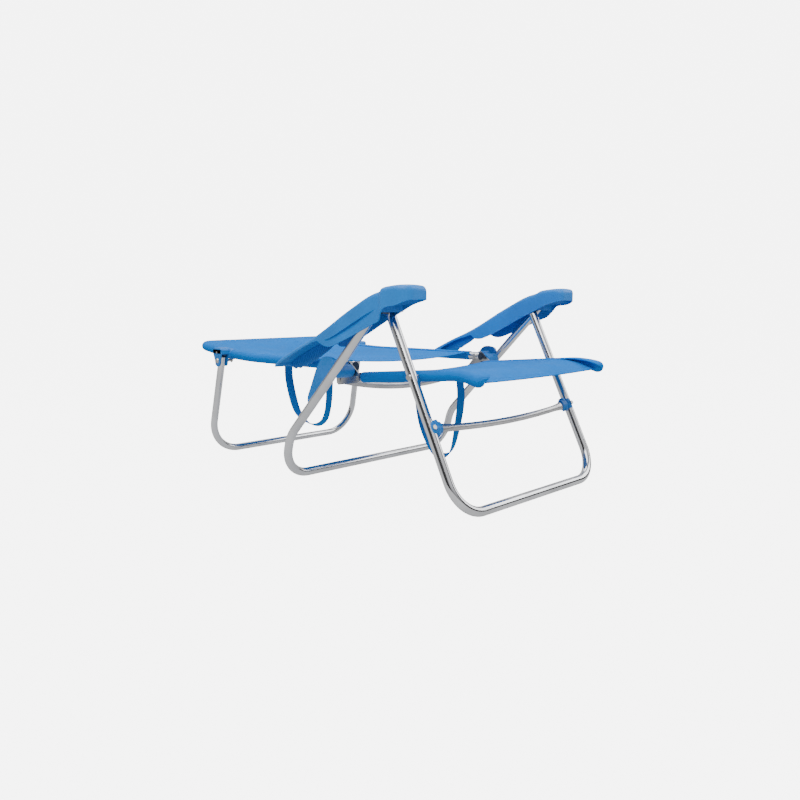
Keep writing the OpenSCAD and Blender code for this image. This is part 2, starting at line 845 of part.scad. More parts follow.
module armrest() {
    deep = 60;
    color(arm_blue) in_arm() difference() {
        union() {
            arm_slab(concat(arm_top, arm_low), arm_in, arm_out);
            arm_slab(concat(arm_front_top, [[pad_end, 43], [pad_end, -8]], arm_front_low), arm_in, arm_out + pad_extra);
        }
        // hollow underside
        arm_slab(concat(sunk(arm_top, arm_front + arm_wall, arm_rear - arm_wall, arm_wall + 0.5),
            [[arm_rear - arm_wall, pin_flat[1] - deep], [arm_front + arm_wall, 10 - deep]]),
            arm_in + arm_wall, arm_out - arm_wall);
        arm_slab([[arm_front + arm_wall, 34], [arm_front + 12, 42], [-60, 45], [pad_end - arm_wall, 39],
            [pad_end - arm_wall, -deep], [arm_front + arm_wall, -deep]],
            arm_out - arm_wall - 1, arm_out + pad_extra - arm_wall);
        // axle
        rod_x(arm_in - 1, arm_out + 1, pin_r + pin_fit);
        // notches for the pin of the back, open downwards
        for (i = [0 : notch_steps]) {
            p = notch_at(back_travel * i / notch_steps);
            translate([0, p[0], p[1]]) {
                rod_x(arm_in - 1, arm_in + arm_wall + 1, notch_r);
                translate([arm_in - 1, -notch_r, -deep]) cube([arm_wall + 2, 2 * notch_r, deep]);
            }
        }
        // long groove on the outer side
        translate([arm_out - 1, 20, -4]) rotate([-2.6 - atan2(arm_fall, arm_reach), 0, 0])
            cube([2, 0.41 * arm_reach, 8]);
    }
}

module armrest_left() {
    mirror([1, 0, 0]) armrest();
}

module armrest_right() {
    armrest();
}

// stiffening ribs in the hollow underside
module arm_ribs() {
    color(arm_blue) in_arm() for (i = [0 : 2]) {
        y = arm_front + 20 + 20 * i;
        translate([arm_in + arm_wall, y, 24]) cube([arm_w - 2 * arm_wall, 2, 18]);
    }
}

module arm_pad_ribs_left() {
    mirror([1, 0, 0]) arm_ribs();
}

module arm_pad_ribs_right() {
    arm_ribs();
}

front_leg_frame();
front_leg_plugs();
front_brace();
brace_clip_left();
brace_clip_right();
brace_rivets();
seat_rivets();
rear_leg_frame();
rear_leg_left();
rear_leg_right();
rear_leg_plugs();
arm_axles();
axle_washers();
hinge_spacer_left();
hinge_spacer_right();
spacer_rivets();
leg_link_left();
leg_link_right();
link_rivets();
seat_tube_left();
seat_tube_right();
seat_nose_plugs();
seat_rear_bar();
hinge_plate_left();
hinge_plate_right();
plate_rivets();
hinge_pins();
seat_fabric();
strap_front();
back_tube_left();
back_tube_right();
head_bar();
back_tube_plugs();
back_fabric();
head_fabric();
notch_pins();
notch_rollers();
back_leg_bracket_left();
back_leg_bracket_right();
bracket_rivets();
back_leg_pins();
strap_rear();
back_leg_frame();
back_leg_plugs();
armrest_left();
armrest_right();
arm_pad_ribs_left();
arm_pad_ribs_right();
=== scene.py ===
"""Looks of a low reclining beach chair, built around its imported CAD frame.

Everything is in metres in the chair's frame: +Z up, the front at -Y, X across, and the origin on the
floor under the middle of the chair.
"""

import json
import logging
import math
from dataclasses import dataclass
from enum import Enum
from typing import Callable, Sequence

import bmesh
import bpy
from mathutils import Matrix, Vector


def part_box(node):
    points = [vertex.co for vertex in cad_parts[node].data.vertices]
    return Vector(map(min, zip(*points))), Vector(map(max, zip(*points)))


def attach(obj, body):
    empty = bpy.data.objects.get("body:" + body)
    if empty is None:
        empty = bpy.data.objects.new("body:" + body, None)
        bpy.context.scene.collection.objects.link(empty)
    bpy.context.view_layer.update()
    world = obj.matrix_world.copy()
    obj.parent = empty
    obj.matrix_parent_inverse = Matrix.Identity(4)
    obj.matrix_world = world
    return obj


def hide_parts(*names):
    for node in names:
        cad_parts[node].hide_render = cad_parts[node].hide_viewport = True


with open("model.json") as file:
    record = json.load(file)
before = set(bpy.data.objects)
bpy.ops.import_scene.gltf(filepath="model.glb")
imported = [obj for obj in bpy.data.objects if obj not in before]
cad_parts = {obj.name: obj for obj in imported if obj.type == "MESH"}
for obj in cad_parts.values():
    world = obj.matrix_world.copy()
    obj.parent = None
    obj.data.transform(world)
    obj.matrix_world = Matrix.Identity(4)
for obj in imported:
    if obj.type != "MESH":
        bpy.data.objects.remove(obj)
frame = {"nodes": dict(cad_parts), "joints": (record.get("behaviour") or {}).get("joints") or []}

log = logging.getLogger("beach_chair")

RIGHT = Vector((1.0, 0.0, 0.0))
RING_POINTS = 28
SEAM_INSETS = (0.021, 0.025)
HEM_INSET = 0.016
SLEEVE_TAIL = 0.026
STITCH_LIFT = 0.0002
STITCH_STEP = 0.0042
STITCH_SIZE = (0.0008, 0.0007, 0.0030)
Ring = Callable[[float], Sequence[tuple[float, float]]]
Outline = Sequence[tuple[float, float]]


class Side(Enum):
    """The two sides of the chair, seen from its front."""

    LEFT = -1
    RIGHT = 1

    @property
    def label(self) -> str:
        """The side's word in node and piece names."""
        return self.name.lower()


class Hold(Enum):
    """How a sheet of cloth is held."""

    STRETCHED = "stretched"
    HUNG = "hung"


# ---------------------------------------------------------------- sizes


@dataclass(frozen=True)
class ChairSizes:
    """Driving sizes of the chair, in metres and degrees.

    They are the CAD part's, apart from the curve, dip and corners of the head end and the splay and
    bend of the head-end leg, which are set closer to the real chair's look.
    """

    leg_r: float = 0.011
    side_r: float = 0.011
    head_leg_r: float = 0.010
    brace_r: float = 0.008
    rear_bar_r: float = 0.009
    fabric_t: float = 0.0016
    seat_half: float = 0.237
    front_leg_gap: float = 0.009
    leg_space: float = 0.015
    leg_bend: float = 0.075
    leg_top: float = 0.014
    front_lean: float = 26.3
    rear_lean: float = 44.3
    rear_foot_lean: float = 14.0
    rear_knee_z: float = 0.105
    rear_knee_r: float = 0.090
    head_lean: float = 12.0
    head_gap: float = 0.0028
    head_splay: float = 0.010
    head_bend: float = 0.092
    seat_slope: float = 5.3
    seat_rear: float = 0.209
    seat_front: float = 0.078
    nose_r: float = 0.220
    nose_angle: float = 20.0
    back_straight: float = 0.365
    head_curve_r: float = 1.850
    head_curve_angle: float = 8.4
    head_corner_r: float = 0.034
    back_dip: float = 0.5
    arm_wall: float = 0.0035
    pad_extra: float = 0.008

    @property
    def sleeve_r(self) -> float:
        """Radius of the fabric sleeve round a side tube."""
        return self.side_r + self.fabric_t

    @property
    def front_half(self) -> float:
        """Half distance between the front legs."""
        return self.seat_half + self.side_r + self.front_leg_gap + self.leg_r

    @property
    def rear_half(self) -> float:
        """Half distance between the rear legs."""
        return self.front_half + 2 * self.leg_r + self.leg_space

    @property
    def head_half(self) -> float:
        """Half distance between the sides of the head-end leg."""
        return self.seat_half + self.sleeve_r + self.head_gap + self.head_leg_r


@dataclass(frozen=True)
class Places:
    """The chair's pivots at rest, read from its joints."""

    axle: Vector
    rivet: Vector
    hinge: Vector
    head_pivot: Vector

    @classmethod
    def from_joints(cls, joints: list[dict]) -> "Places":
        """Finds the four pivot lines.

        Args:
            joints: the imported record's joints.

        Returns:
            The pivots on the chair's middle plane.
        """
        at = {joint["name"]: Vector(joint["pos_m"]) for joint in joints}
        return cls(at["leg_fold"], at["seat_tilt"], at["back_recline"], at["back_leg_fold"])


# ---------------------------------------------------------------- mesh tools


@dataclass(frozen=True)
class Station:
    """One place along a sweep: where it is, which way it runs, and which way is up."""

    at: Vector
    along: Vector
    up: Vector
    size: float = 1.0

    @property
    def side(self) -> Vector:
        """The direction across the sweep."""
        return self.along.cross(self.up).normalized()


def ease(share: float) -> float:
    """Smooth step of a share, held between 0 and 1."""
    share = min(1.0, max(0.0, share))
    return share * share * (3 - 2 * share)


def curve_at(points: Outline, at: float) -> float:
    """Height of a smooth line through points at one place.

    Args:
        points: (place, height) pairs in rising order of place.
        at: the place.

    Returns:
        The height there, and the end's own height beyond either end.
    """
    if at <= points[0][0]:
        return points[0][1]
    if at >= points[-1][0]:
        return points[-1][1]
    i = max(k for k in range(len(points) - 1) if points[k][0] <= at)

    def slope(k: int) -> float:
        """Slope of the line at point k."""
        a, b = points[max(k - 1, 0)], points[min(k + 1, len(points) - 1)]
        return (b[1] - a[1]) / (b[0] - a[0])

    (x0, z0), (x1, z1) = points[i], points[i + 1]
    width = x1 - x0
    t = (at - x0) / width
    return (
        (2 * t**3 - 3 * t**2 + 1) * z0
        + (t**3 - 2 * t**2 + t) * width * slope(i)
        + (3 * t**2 - 2 * t**3) * z1
        + (t**3 - t**2) * width * slope(i + 1)
    )


def spline(points: Sequence[Vector], steps: int) -> list[Vector]:
    """A smooth line through points, with a number of steps between each two."""
    ends = [2 * points[0] - points[1], *points, 2 * points[-1] - points[-2]]
    line = []
    for a, b, c, d in zip(ends, ends[1:], ends[2:], ends[3:]):
        for k in range(steps):
            t = k / steps
            line.append(
                0.5 * (2 * b + (c - a) * t + (2 * a - 5 * b + 4 * c - d) * t**2
                       + (3 * b - a - 3 * c + d) * t**3)
            )
    return [*line, points[-1].copy()]


def rounded(corners: Sequence[Vector], radii: Sequence[float], step: float = 0.012) -> list[Vector]:
    """A polyline with round corners.

    Args:
        corners: the sharp polyline.
        radii: bend radius at each of its inner corners.
        step: longest straight piece.

    Returns:
        The points of the rounded line.
    """
    line = [corners[0].copy()]

    def straight_to(end: Vector) -> None:
        """Adds evenly spaced points up to end."""
        start = line[-1].copy()
        count = max(1, round((end - start).length / step))
        line.extend(start.lerp(end, (k + 1) / count) for k in range(count))

    for before, corner, after, radius in zip(corners, corners[1:], corners[2:], radii):
        back, on = (before - corner).normalized(), (after - corner).normalized()
        half = back.angle(on) / 2
        centre = corner + (back + on).normalized() * (radius / math.sin(half))
        start, end = corner + back * (radius / math.tan(half)), corner + on * (radius / math.tan(half))
        straight_to(start)
        sweep_angle = (start - centre).angle(end - centre)
        turns = max(4, round(sweep_angle * radius / (step / 2)))
        axis = (start - centre).cross(end - centre).normalized()
        for k in range(1, turns + 1):
            line.append(centre + Matrix.Rotation(sweep_angle * k / turns, 3, axis) @ (start - centre))
    straight_to(corners[-1])
    return line


def stations_on(path: Sequence[Vector], up: Vector) -> list[Station]:
    """Stations along a path, each turned as near as it can be to one up direction."""
    last = len(path) - 1
    made = []
    for i, p in enumerate(path):
        along = (path[min(i + 1, last)] - path[max(i - 1, 0)]).normalized()
        made.append(Station(p, along, (up - along * up.dot(along)).normalized()))
    return made


def place(name: str, data: bpy.types.ID) -> bpy.types.Object:
    """An object at the origin that holds a mesh, a light or a camera."""
    made = bpy.data.objects.new(name, data)
    bpy.context.scene.collection.objects.link(made)
    return made


def build(name: str, points: Sequence[Vector], faces: Sequence[Sequence[int]],
          uvs: Sequence[Sequence[tuple[float, float]]] | None = None,
          crease: float = 40.0) -> bpy.types.Object:
    """A smooth-shaded mesh object whose faces point outwards.

    Args:
        name: the piece's name.
        points: its vertices.
        faces: its faces, as vertex numbers.
        uvs: for each face, the cloth or tube coordinates of its corners in metres.
        crease: angle in degrees above which an edge is sharp.

    Returns:
        The object.
    """
    mesh = bpy.data.meshes.new(name)
    mesh.from_pydata([tuple(p) for p in points], [], [list(f) for f in faces])
    if uvs:
        layer = mesh.uv_layers.new(name="flow")
        corner = 0
        for row in uvs:
            for uv in row:
                layer.data[corner].uv = uv
                corner += 1
    work = bmesh.new()
    work.from_mesh(mesh)
    bmesh.ops.remove_doubles(work, verts=work.verts, dist=1e-6)
    bmesh.ops.recalc_face_normals(work, faces=work.faces)
    work.to_mesh(mesh)
    work.free()
    mesh.polygons.foreach_set("use_smooth", [True] * len(mesh.polygons))
    mesh.set_sharp_from_angle(angle=math.radians(crease))
    return place(name, mesh)


def sweep(name: str, stations: Sequence[Station], ring_of: Ring, crease: float = 40.0) -> bpy.types.Object:
    """A closed solid made by a ring that runs along stations.

    Args:
        name: the piece's name.
        stations: the places along it.
        ring_of: gives the ring's (across, up) points at a share of the way along.
        crease: angle in degrees above which an edge is sharp.

    Returns:
        The object, capped at both ends.
    """
    points, faces, uvs = [], [], []
    last = len(stations) - 1
    rings = [ring_of(i / last) for i in range(last + 1)]
    count = len(rings[0])
    round_it = [0.0]
    for k in range(count):
        a, b = rings[last // 2][k], rings[last // 2][(k + 1) % count]
        round_it.append(round_it[-1] + math.dist(a, b))
    run = 0.0
    for i, (s, ring) in enumerate(zip(stations, rings)):
        points.extend(s.at + (s.side * a + s.up * b) * s.size for a, b in ring)
        if i == last:
            break
        step = (stations[i + 1].at - s.at).length
        for k in range(count):
            j = (k + 1) % count
            faces.append((i * count + k, i * count + j, (i + 1) * count + j, (i + 1) * count + k))
            uvs.append([(round_it[k], run), (round_it[k + 1], run),
                        (round_it[k + 1], run + step), (round_it[k], run + step)])
        run += step
    for end in (0, last):
        faces.append([end * count + k for k in range(count)])
        uvs.append([rings[end][k] for k in range(count)])
    return build(name, points, faces, uvs, crease)


def circle(radius: float) -> list[tuple[float, float]]:
    """Points of a circle."""
    turn = 2 * math.pi / RING_POINTS
    return [(radius * math.cos(k * turn), radius * math.sin(k * turn)) for k in range(RING_POINTS)]


def tube(name: str, path: Sequence[Vector], up: Vector, radius: float) -> bpy.types.Object:
    """A round tube along a path."""
    return sweep(name, stations_on(path, up), lambda share: circle(radius))


def prism(name: str, outline: Sequence[Vector], depth: Vector, bevel: float) -> bpy.types.Object:
    """A flat outline given a depth, with rounded edges.

    Args:
        name: the piece's name.
        outline: its corners in order.
        depth: direction and thickness.
        bevel: radius of its edges.

    Returns:
        The object.
    """
    count = len(outline)
    points = [*outline, *(p + depth for p in outline)]
    faces = [list(range(count)), [k + count for k in range(count)]]
    faces += [(k, (k + 1) % count, (k + 1) % count + count, k + count) for k in range(count)]
    made = build(name, points, faces)
    soften = made.modifiers.new("edges", "BEVEL")
    soften.width = bevel
    soften.segments = 3
    soften.limit_method = "ANGLE"
    soften.angle_limit = math.radians(35)
    return made


def joined(name: str, parts: Sequence[bpy.types.Object]) -> bpy.types.Object:
    """One plain mesh from several objects, with their modifiers applied.

    Args:
        name: the new piece's name.
        parts: the objects, which are removed.

    Returns:
        The joined object.
    """
    graph = bpy.context.evaluated_depsgraph_get()
    work = bmesh.new()
    work.loops.layers.uv.new("flow")
    for part in parts:
        mesh = bpy.data.meshes.new_from_object(part.evaluated_get(graph))
        if not mesh.uv_layers:
            mesh.uv_layers.new(name="flow")
        work.from_mesh(mesh)
        bpy.data.meshes.remove(mesh)
    mesh = bpy.data.meshes.new(name)
    work.to_mesh(mesh)
    work.free()
    for part in parts:
        bpy.data.objects.remove(part)
    mesh.materials.clear()
    return place(name, mesh)


# ---------------------------------------------------------------- repeated pieces


def new_tree(name: str, inputs: dict[str, tuple[str, object]]) -> bpy.types.NodeTree:
    """A Geometry Nodes tree with a geometry in and out, and named inputs.

    Args:
        name: the tree's name.
        inputs: for each input's name, its socket type and its value.

    Returns:
        The tree.
    """
    tree = bpy.data.node_groups.new(name, "GeometryNodeTree")
    tree.interface.new_socket("Geometry", in_out="INPUT", socket_type="NodeSocketGeometry")
    tree.interface.new_socket("Geometry", in_out="OUTPUT", socket_type="NodeSocketGeometry")
    for label, (kind, value) in inputs.items():
        socket = tree.interface.new_socket(label, in_out="INPUT", socket_type=kind)
        if value is not None:
            socket.default_value = value
    return tree


def add(tree: bpy.types.NodeTree, kind: str, inputs: dict | None = None,
        **settings: object) -> bpy.types.Node:
    """Adds one node.

    Args:
        tree: the tree that it goes in.
        kind: the node's type.
        inputs: by socket name or number, a value or the socket that feeds it.
        **settings: the node's own properties.

    Returns:
        The node.
    """
    made = tree.nodes.new(kind)
    for key, value in settings.items():
        setattr(made, key, value)
    for key, value in (inputs or {}).items():
        if isinstance(value, bpy.types.NodeSocket):
            tree.links.new(value, made.inputs[key])
        else:
            made.inputs[key].default_value = value
    return made


class RowOfPieces:
    """Small pieces set at even steps along lines, by Geometry Nodes."""

    def __init__(self) -> None:
        """Builds the tree once."""
        self.tree = new_tree("row_of_pieces", {
            "Spacing": ("NodeSocketFloat", 0.004),
            "Size": ("NodeSocketVector", (0.001, 0.001, 0.002)),
            "Roundness": ("NodeSocketInt", 2),
            "Material": ("NodeSocketMaterial", None),
        })
        source = add(self.tree, "NodeGroupInput")
        lines = add(self.tree, "GeometryNodeMeshToCurve", {"Mesh": source.outputs["Geometry"]})
        points = add(self.tree, "GeometryNodeCurveToPoints",
                     {"Curve": lines.outputs["Curve"], "Length": source.outputs["Spacing"]}, mode="LENGTH")
        ball = add(self.tree, "GeometryNodeMeshIcoSphere",
                   {"Radius": 0.5, "Subdivisions": source.outputs["Roundness"]})
        placed = add(self.tree, "GeometryNodeInstanceOnPoints", {
            "Points": points.outputs["Points"],
            "Instance": ball.outputs["Mesh"],
            "Rotation": points.outputs["Rotation"],
            "Scale": source.outputs["Size"],
        })
        real = add(self.tree, "GeometryNodeRealizeInstances", {"Geometry": placed.outputs["Instances"]})
        dressed = add(self.tree, "GeometryNodeSetMaterial",
                      {"Geometry": real.outputs["Geometry"], "Material": source.outputs["Material"]})
        add(self.tree, "NodeGroupOutput", {"Geometry": dressed.outputs["Geometry"]})

    def along(self, name: str, lines: Sequence[Sequence[Vector]], spacing: float,
              size: tuple[float, float, float], material: bpy.types.Material) -> bpy.types.Object:
        """Sets pieces along lines.

        Args:
            name: the piece's name.
            lines: the lines that the small pieces follow.
            spacing: distance from one to the next.
            size: each one's size across, up and along.
            material: its finish.

        Returns:
            One plain mesh of all of them.
        """
        mesh = bpy.data.meshes.new(name + "_lines")
        points, edges = [], []
        for line in lines:
            start = len(points)
            points.extend(tuple(p) for p in line)
            edges.extend((start + k, start + k + 1) for k in range(len(line) - 1))
        mesh.from_pydata(points, edges, [])
        guide = place(name + "_lines", mesh)
        modifier = guide.modifiers.new("row", "NODES")
        modifier.node_group = self.tree
        values = {"Spacing": spacing, "Size": size, "Roundness": 2, "Material": material}
        for item in self.tree.interface.items_tree:
            if item.in_out == "INPUT" and item.name in values:
                modifier[item.identifier] = values[item.name]
        graph = bpy.context.evaluated_depsgraph_get()
        made = bpy.data.meshes.new_from_object(guide.evaluated_get(graph))
        bpy.data.objects.remove(guide)
        made.polygons.foreach_set("use_smooth", [True] * len(made.polygons))
        return place(name, made)


# ---------------------------------------------------------------- finishes


def new_group(name: str, inputs: dict[str, float], outputs: dict[str, str]) -> bpy.types.NodeTree:
    """An empty shader group.

    Args:
        name: the group's name.
        inputs: the float inputs and their values.
        outputs: the outputs and their socket types.

    Returns:
        The group.
    """
    group = bpy.data.node_groups.new(name, "ShaderNodeTree")
    for label, value in inputs.items():
        socket = group.interface.new_socket(label, in_out="INPUT", socket_type="NodeSocketFloat")
        socket.default_value = value
    for label, kind in outputs.items():
        group.interface.new_socket(label, in_out="OUTPUT", socket_type=kind)
    return group


def math_node(tree: bpy.types.NodeTree, operation: str, a: object, b: object = 0.0,
              clamp: bool = False) -> bpy.types.NodeSocket:
    """The result of one Math node."""
    made = add(tree, "ShaderNodeMath", {0: a, 1: b}, operation=operation, use_clamp=clamp)
    return made.outputs[0]


def spread(tree: bpy.types.NodeTree, value: bpy.types.NodeSocket, low: float, high: float,
           to_low: float = 0.0, to_high: float = 1.0) -> bpy.types.NodeSocket:
    """A value spread from one range onto another, and held inside it."""
    made = add(tree, "ShaderNodeMapRange",
               {"Value": value, "From Min": low, "From Max": high, "To Min": to_low, "To Max": to_high})
    return made.outputs["Result"]


def noise(tree: bpy.types.NodeTree, where: object, scale: object, detail: float) -> bpy.types.NodeSocket:
    """The value of one noise texture."""
    made = add(tree, "ShaderNodeTexNoise", {"Vector": where, "Scale": scale, "Detail": detail})
    return made.outputs["Fac"]


def mask_out(group: bpy.types.NodeTree, a: object, b: object, amount: object) -> None:
    """Ends a group with the product of two masks and an amount."""
    both = math_node(group, "MULTIPLY", a, b)
    add(group, "NodeGroupOutput", {"Mask": math_node(group, "MULTIPLY", both, amount, clamp=True)})


def surface(tree: bpy.types.NodeTree, shader: bpy.types.Node, colour: bpy.types.NodeSocket,
            roughness: bpy.types.NodeSocket, height: bpy.types.NodeSocket, strength: float,
            distance: float) -> None:
    """Feeds a shader its colour, its roughness and its bump.

    Args:
        tree: the material's tree.
        shader: its Principled shader.
        colour: the base colour.
        roughness: the roughness.
        height: the bump's height.
        strength: how strongly the bump shows.
        distance: the bump's depth.
    """
    bump = add(tree, "ShaderNodeBump", {"Strength": strength, "Distance": distance, "Height": height})
    feeds = {"Base Color": colour, "Roughness": roughness, "Normal": bump.outputs["Normal"]}
    for label, socket in feeds.items():
        tree.links.new(socket, shader.inputs[label])


class SharedEffects:
    """Shader groups that several finishes use."""

    def __init__(self) -> None:
        """Builds each group once."""
        self.grain = self._grain()
        self.wear = self._wear()
        self.dust = self._dust()
        self.weave = self._weave()

    @staticmethod
    def _grain() -> bpy.types.NodeTree:
        """Fine surface grain and slow variation of tone."""
        group = new_group("fine_grain", {"Grain Scale": 900.0, "Tone Scale": 9.0},
                          {"Height": "NodeSocketFloat", "Tone": "NodeSocketFloat"})
        source = add(group, "NodeGroupInput")
        where = add(group, "ShaderNodeTexCoord").outputs["Object"]
        fine = noise(group, where, source.outputs["Grain Scale"], 3.0)
        slow = noise(group, where, source.outputs["Tone Scale"], 2.0)
        add(group, "NodeGroupOutput", {"Height": fine, "Tone": slow})
        return group

    @staticmethod
    def _wear() -> bpy.types.NodeTree:
        """Rubbed edges, broken up by noise."""
        group = new_group("edge_wear", {"Amount": 0.5}, {"Mask": "NodeSocketFloat"})
        source = add(group, "NodeGroupInput")
        where = add(group, "ShaderNodeTexCoord").outputs["Object"]
        sharp = spread(group, add(group, "ShaderNodeNewGeometry").outputs["Pointiness"], 0.52, 0.62)
        broken = spread(group, noise(group, where, 70.0, 4.0), 0.45, 0.62)
        mask_out(group, sharp, broken, source.outputs["Amount"])
        return group

    @staticmethod
    def _dust() -> bpy.types.NodeTree:
        """Fine sand dust on faces that look up."""
        group = new_group("light_dust", {"Amount": 0.2}, {"Mask": "NodeSocketFloat"})
        source = add(group, "NodeGroupInput")
        normal = add(group, "ShaderNodeNewGeometry").outputs["Normal"]
        rise = add(group, "ShaderNodeSeparateXYZ", {"Vector": normal}).outputs["Z"]
        where = add(group, "ShaderNodeTexCoord").outputs["Object"]
        up, uneven = spread(group, rise, 0.2, 0.95), spread(group, noise(group, where, 24.0, 5.0), 0.4, 0.7)
        mask_out(group, up, uneven, source.outputs["Amount"])
        return group

    @staticmethod
    def _weave() -> bpy.types.NodeTree:
        """A mesh weave of small hollows in offset rows, on the cloth's own coordinates. Its Hollow mask marks
        where shade is painted into the cloth's colour.
        """
        group = new_group("cloth_weave", {"Pitch": 0.003, "Ribs": 0.0},
                          {"Height": "NodeSocketFloat", "Hollow": "NodeSocketFloat"})
        source = add(group, "NodeGroupInput")
        cloth = add(group, "ShaderNodeUVMap", uv_map="flow").outputs["UV"]
        split = add(group, "ShaderNodeSeparateXYZ", {"Vector": cloth})
        across = math_node(group, "DIVIDE", split.outputs["X"], source.outputs["Pitch"])
        down = math_node(group, "DIVIDE", split.outputs["Y"], source.outputs["Pitch"])
        row = math_node(group, "FLOOR", down)
        shift = math_node(group, "MULTIPLY", math_node(group, "PINGPONG", row, 1.0), 0.5)
        moved = math_node(group, "ADD", across, shift)
        x = math_node(group, "SUBTRACT", math_node(group, "FRACT", moved), 0.5)
        y = math_node(group, "SUBTRACT", math_node(group, "FRACT", down), 0.5)
        far = math_node(group, "SQRT", math_node(group, "ADD", math_node(group, "MULTIPLY", x, x),
                                                 math_node(group, "MULTIPLY", y, y)))
        dots = spread(group, far, 0.16, 0.40)
        turned = math_node(group, "MULTIPLY", down, math.pi)
        wave = math_node(group, "ABSOLUTE", math_node(group, "SINE", turned))
        mixed = add(group, "ShaderNodeMix", {"Factor": source.outputs["Ribs"], "A": dots, "B": wave},
                    data_type="FLOAT").outputs["Result"]
        hollow = math_node(group, "SUBTRACT", 1.0, mixed)
        add(group, "NodeGroupOutput", {"Height": mixed, "Hollow": hollow})
        return group


def new_material(name: str) -> tuple[bpy.types.Material, bpy.types.NodeTree, bpy.types.Node]:
    """A material with an empty Principled shader."""
    material = bpy.data.materials.new(name)
    material.use_nodes = True
    tree = material.node_tree
    return material, tree, tree.nodes["Principled BSDF"]


def use(tree: bpy.types.NodeTree, group: bpy.types.NodeTree, **values: float) -> bpy.types.Node:
    """Places a shared group in a material with its own values."""
    inputs = {label.replace("_", " "): value for label, value in values.items()}
    return add(tree, "ShaderNodeGroup", inputs, node_tree=group)


def mix_colour(tree: bpy.types.NodeTree, factor: object, a: object, b: object,
               blend: str = "MIX") -> bpy.types.NodeSocket:
    """The result of one colour mix."""
    made = add(tree, "ShaderNodeMix", data_type="RGBA", blend_type=blend)
    colours = [socket for socket in made.inputs if socket.type == "RGBA"]
    for socket, value in ((made.inputs["Factor"], factor), (colours[0], a), (colours[1], b)):
        if isinstance(value, bpy.types.NodeSocket):
            tree.links.new(value, socket)
        else:
            socket.default_value = (*value, 1.0) if isinstance(value, tuple) else value
    return [socket for socket in made.outputs if socket.type == "RGBA"][0]


@dataclass(frozen=True)
class MetalFinish:
    """Bare metal: bright or satin, with drawing lines and handling marks."""

    name: str
    colour: tuple[float, float, float]
    roughness: float
    marks: float
    drawn: float

    def make(self, effects: SharedEffects) -> bpy.types.Material:
        """Builds the material."""
        material, tree, shader = new_material(self.name)
        shader.inputs["Metallic"].default_value = 1.0
        grain = use(tree, effects.grain, Grain_Scale=1400.0, Tone_Scale=14.0)
        wear = use(tree, effects.wear, Amount=0.35)
        flow = add(tree, "ShaderNodeUVMap", uv_map="flow").outputs["UV"]
        fine = add(tree, "ShaderNodeMapping", {"Vector": flow, "Scale": (2600.0, 14.0, 1.0)})
        lines = noise(tree, fine.outputs["Vector"], 1.0, 2.0)
        dark = tuple(0.78 * c for c in self.colour)
        tone = spread(tree, grain.outputs["Tone"], 0.35, 0.7)
        base = mix_colour(tree, tone, self.colour, dark)
        rubbed = mix_colour(tree, wear.outputs["Mask"], base, tuple(min(1.0, 1.12 * c) for c in self.colour))
        low, high = self.roughness, self.roughness + self.marks
        smudge = spread(tree, grain.outputs["Tone"], 0.42, 0.72, low, high)
        streak = spread(tree, lines, 0.3, 0.75, 0.0, self.drawn)
        surface(tree, shader, rubbed, math_node(tree, "ADD", smudge, streak), lines, 0.06, 0.0002)
        return material


@dataclass(frozen=True)
class PlasticFinish:
    """Moulded plastic with a spark-eroded grain, worn a little along its edges."""

    name: str
    colour: tuple[float, float, float]
    roughness: float
    grain: float
    dust: float

    def make(self, effects: SharedEffects) -> bpy.types.Material:
        """Builds the material."""
        material, tree, shader = new_material(self.name)
        shader.inputs["Specular IOR Level"].default_value = 0.45
        grain = use(tree, effects.grain, Grain_Scale=1100.0, Tone_Scale=11.0)
        wear = use(tree, effects.wear, Amount=0.45)
        dust = use(tree, effects.dust, Amount=self.dust)
        deep = tuple(0.84 * c for c in self.colour)
        light = tuple(min(1.0, c * 1.25 + 0.03) for c in self.colour)
        tone = spread(tree, grain.outputs["Tone"], 0.35, 0.68)
        base = mix_colour(tree, tone, self.colour, deep)
        rubbed = mix_colour(tree, wear.outputs["Mask"], base, light)
        dusty = mix_colour(tree, dust.outputs["Mask"], rubbed, (0.55, 0.56, 0.55))
        rough = spread(tree, grain.outputs["Tone"], 0.3, 0.7, self.roughness, self.roughness + 0.12)
        surface(tree, shader, dusty, rough, grain.outputs["Height"], self.grain, 0.0004)
        return material


@dataclass(frozen=True)
class ClothFinish:
    """Woven synthetic cloth: open mesh sling or ribbed webbing, with painted shade in the hollows of its
    weave.
    """

    name: str
    colour: tuple[float, float, float]
    # The painted shade colour for the hollows of the weave.
    painted_hollow_shade: tuple[float, float, float]
    pitch: float
    ribs: float
    depth: float

    def make(self, effects: SharedEffects) -> bpy.types.Material:
        """Builds the material."""
        material, tree, shader = new_material(self.name)
        shader.inputs["Specular IOR Level"].default_value = 0.10
        weave = use(tree, effects.weave, Pitch=self.pitch, Ribs=self.ribs)
        grain = use(tree, effects.grain, Grain_Scale=1600.0, Tone_Scale=6.0)
        dust = use(tree, effects.dust, Amount=0.03)
        tone = spread(tree, grain.outputs["Tone"], 0.35, 0.7)
        soft = mix_colour(tree, tone, self.colour, tuple(0.88 * c for c in self.colour))
        # Painted shade: the mesh holes and the grooves between ribs are darkened towards the painted hollow
        # shade colour.
        hollow = spread(tree, weave.outputs["Hollow"], 0.25, 1.0, 0.0, 0.75)
        weave_with_painted_shade = mix_colour(tree, hollow, soft, self.painted_hollow_shade)
        dusty = mix_colour(tree, dust.outputs["Mask"], weave_with_painted_shade, (0.50, 0.53, 0.55))
        rough = spread(tree, grain.outputs["Height"], 0.3, 0.7, 0.72, 0.88)
        surface(tree, shader, dusty, rough, weave.outputs["Height"], self.depth, 0.0006)
        return material


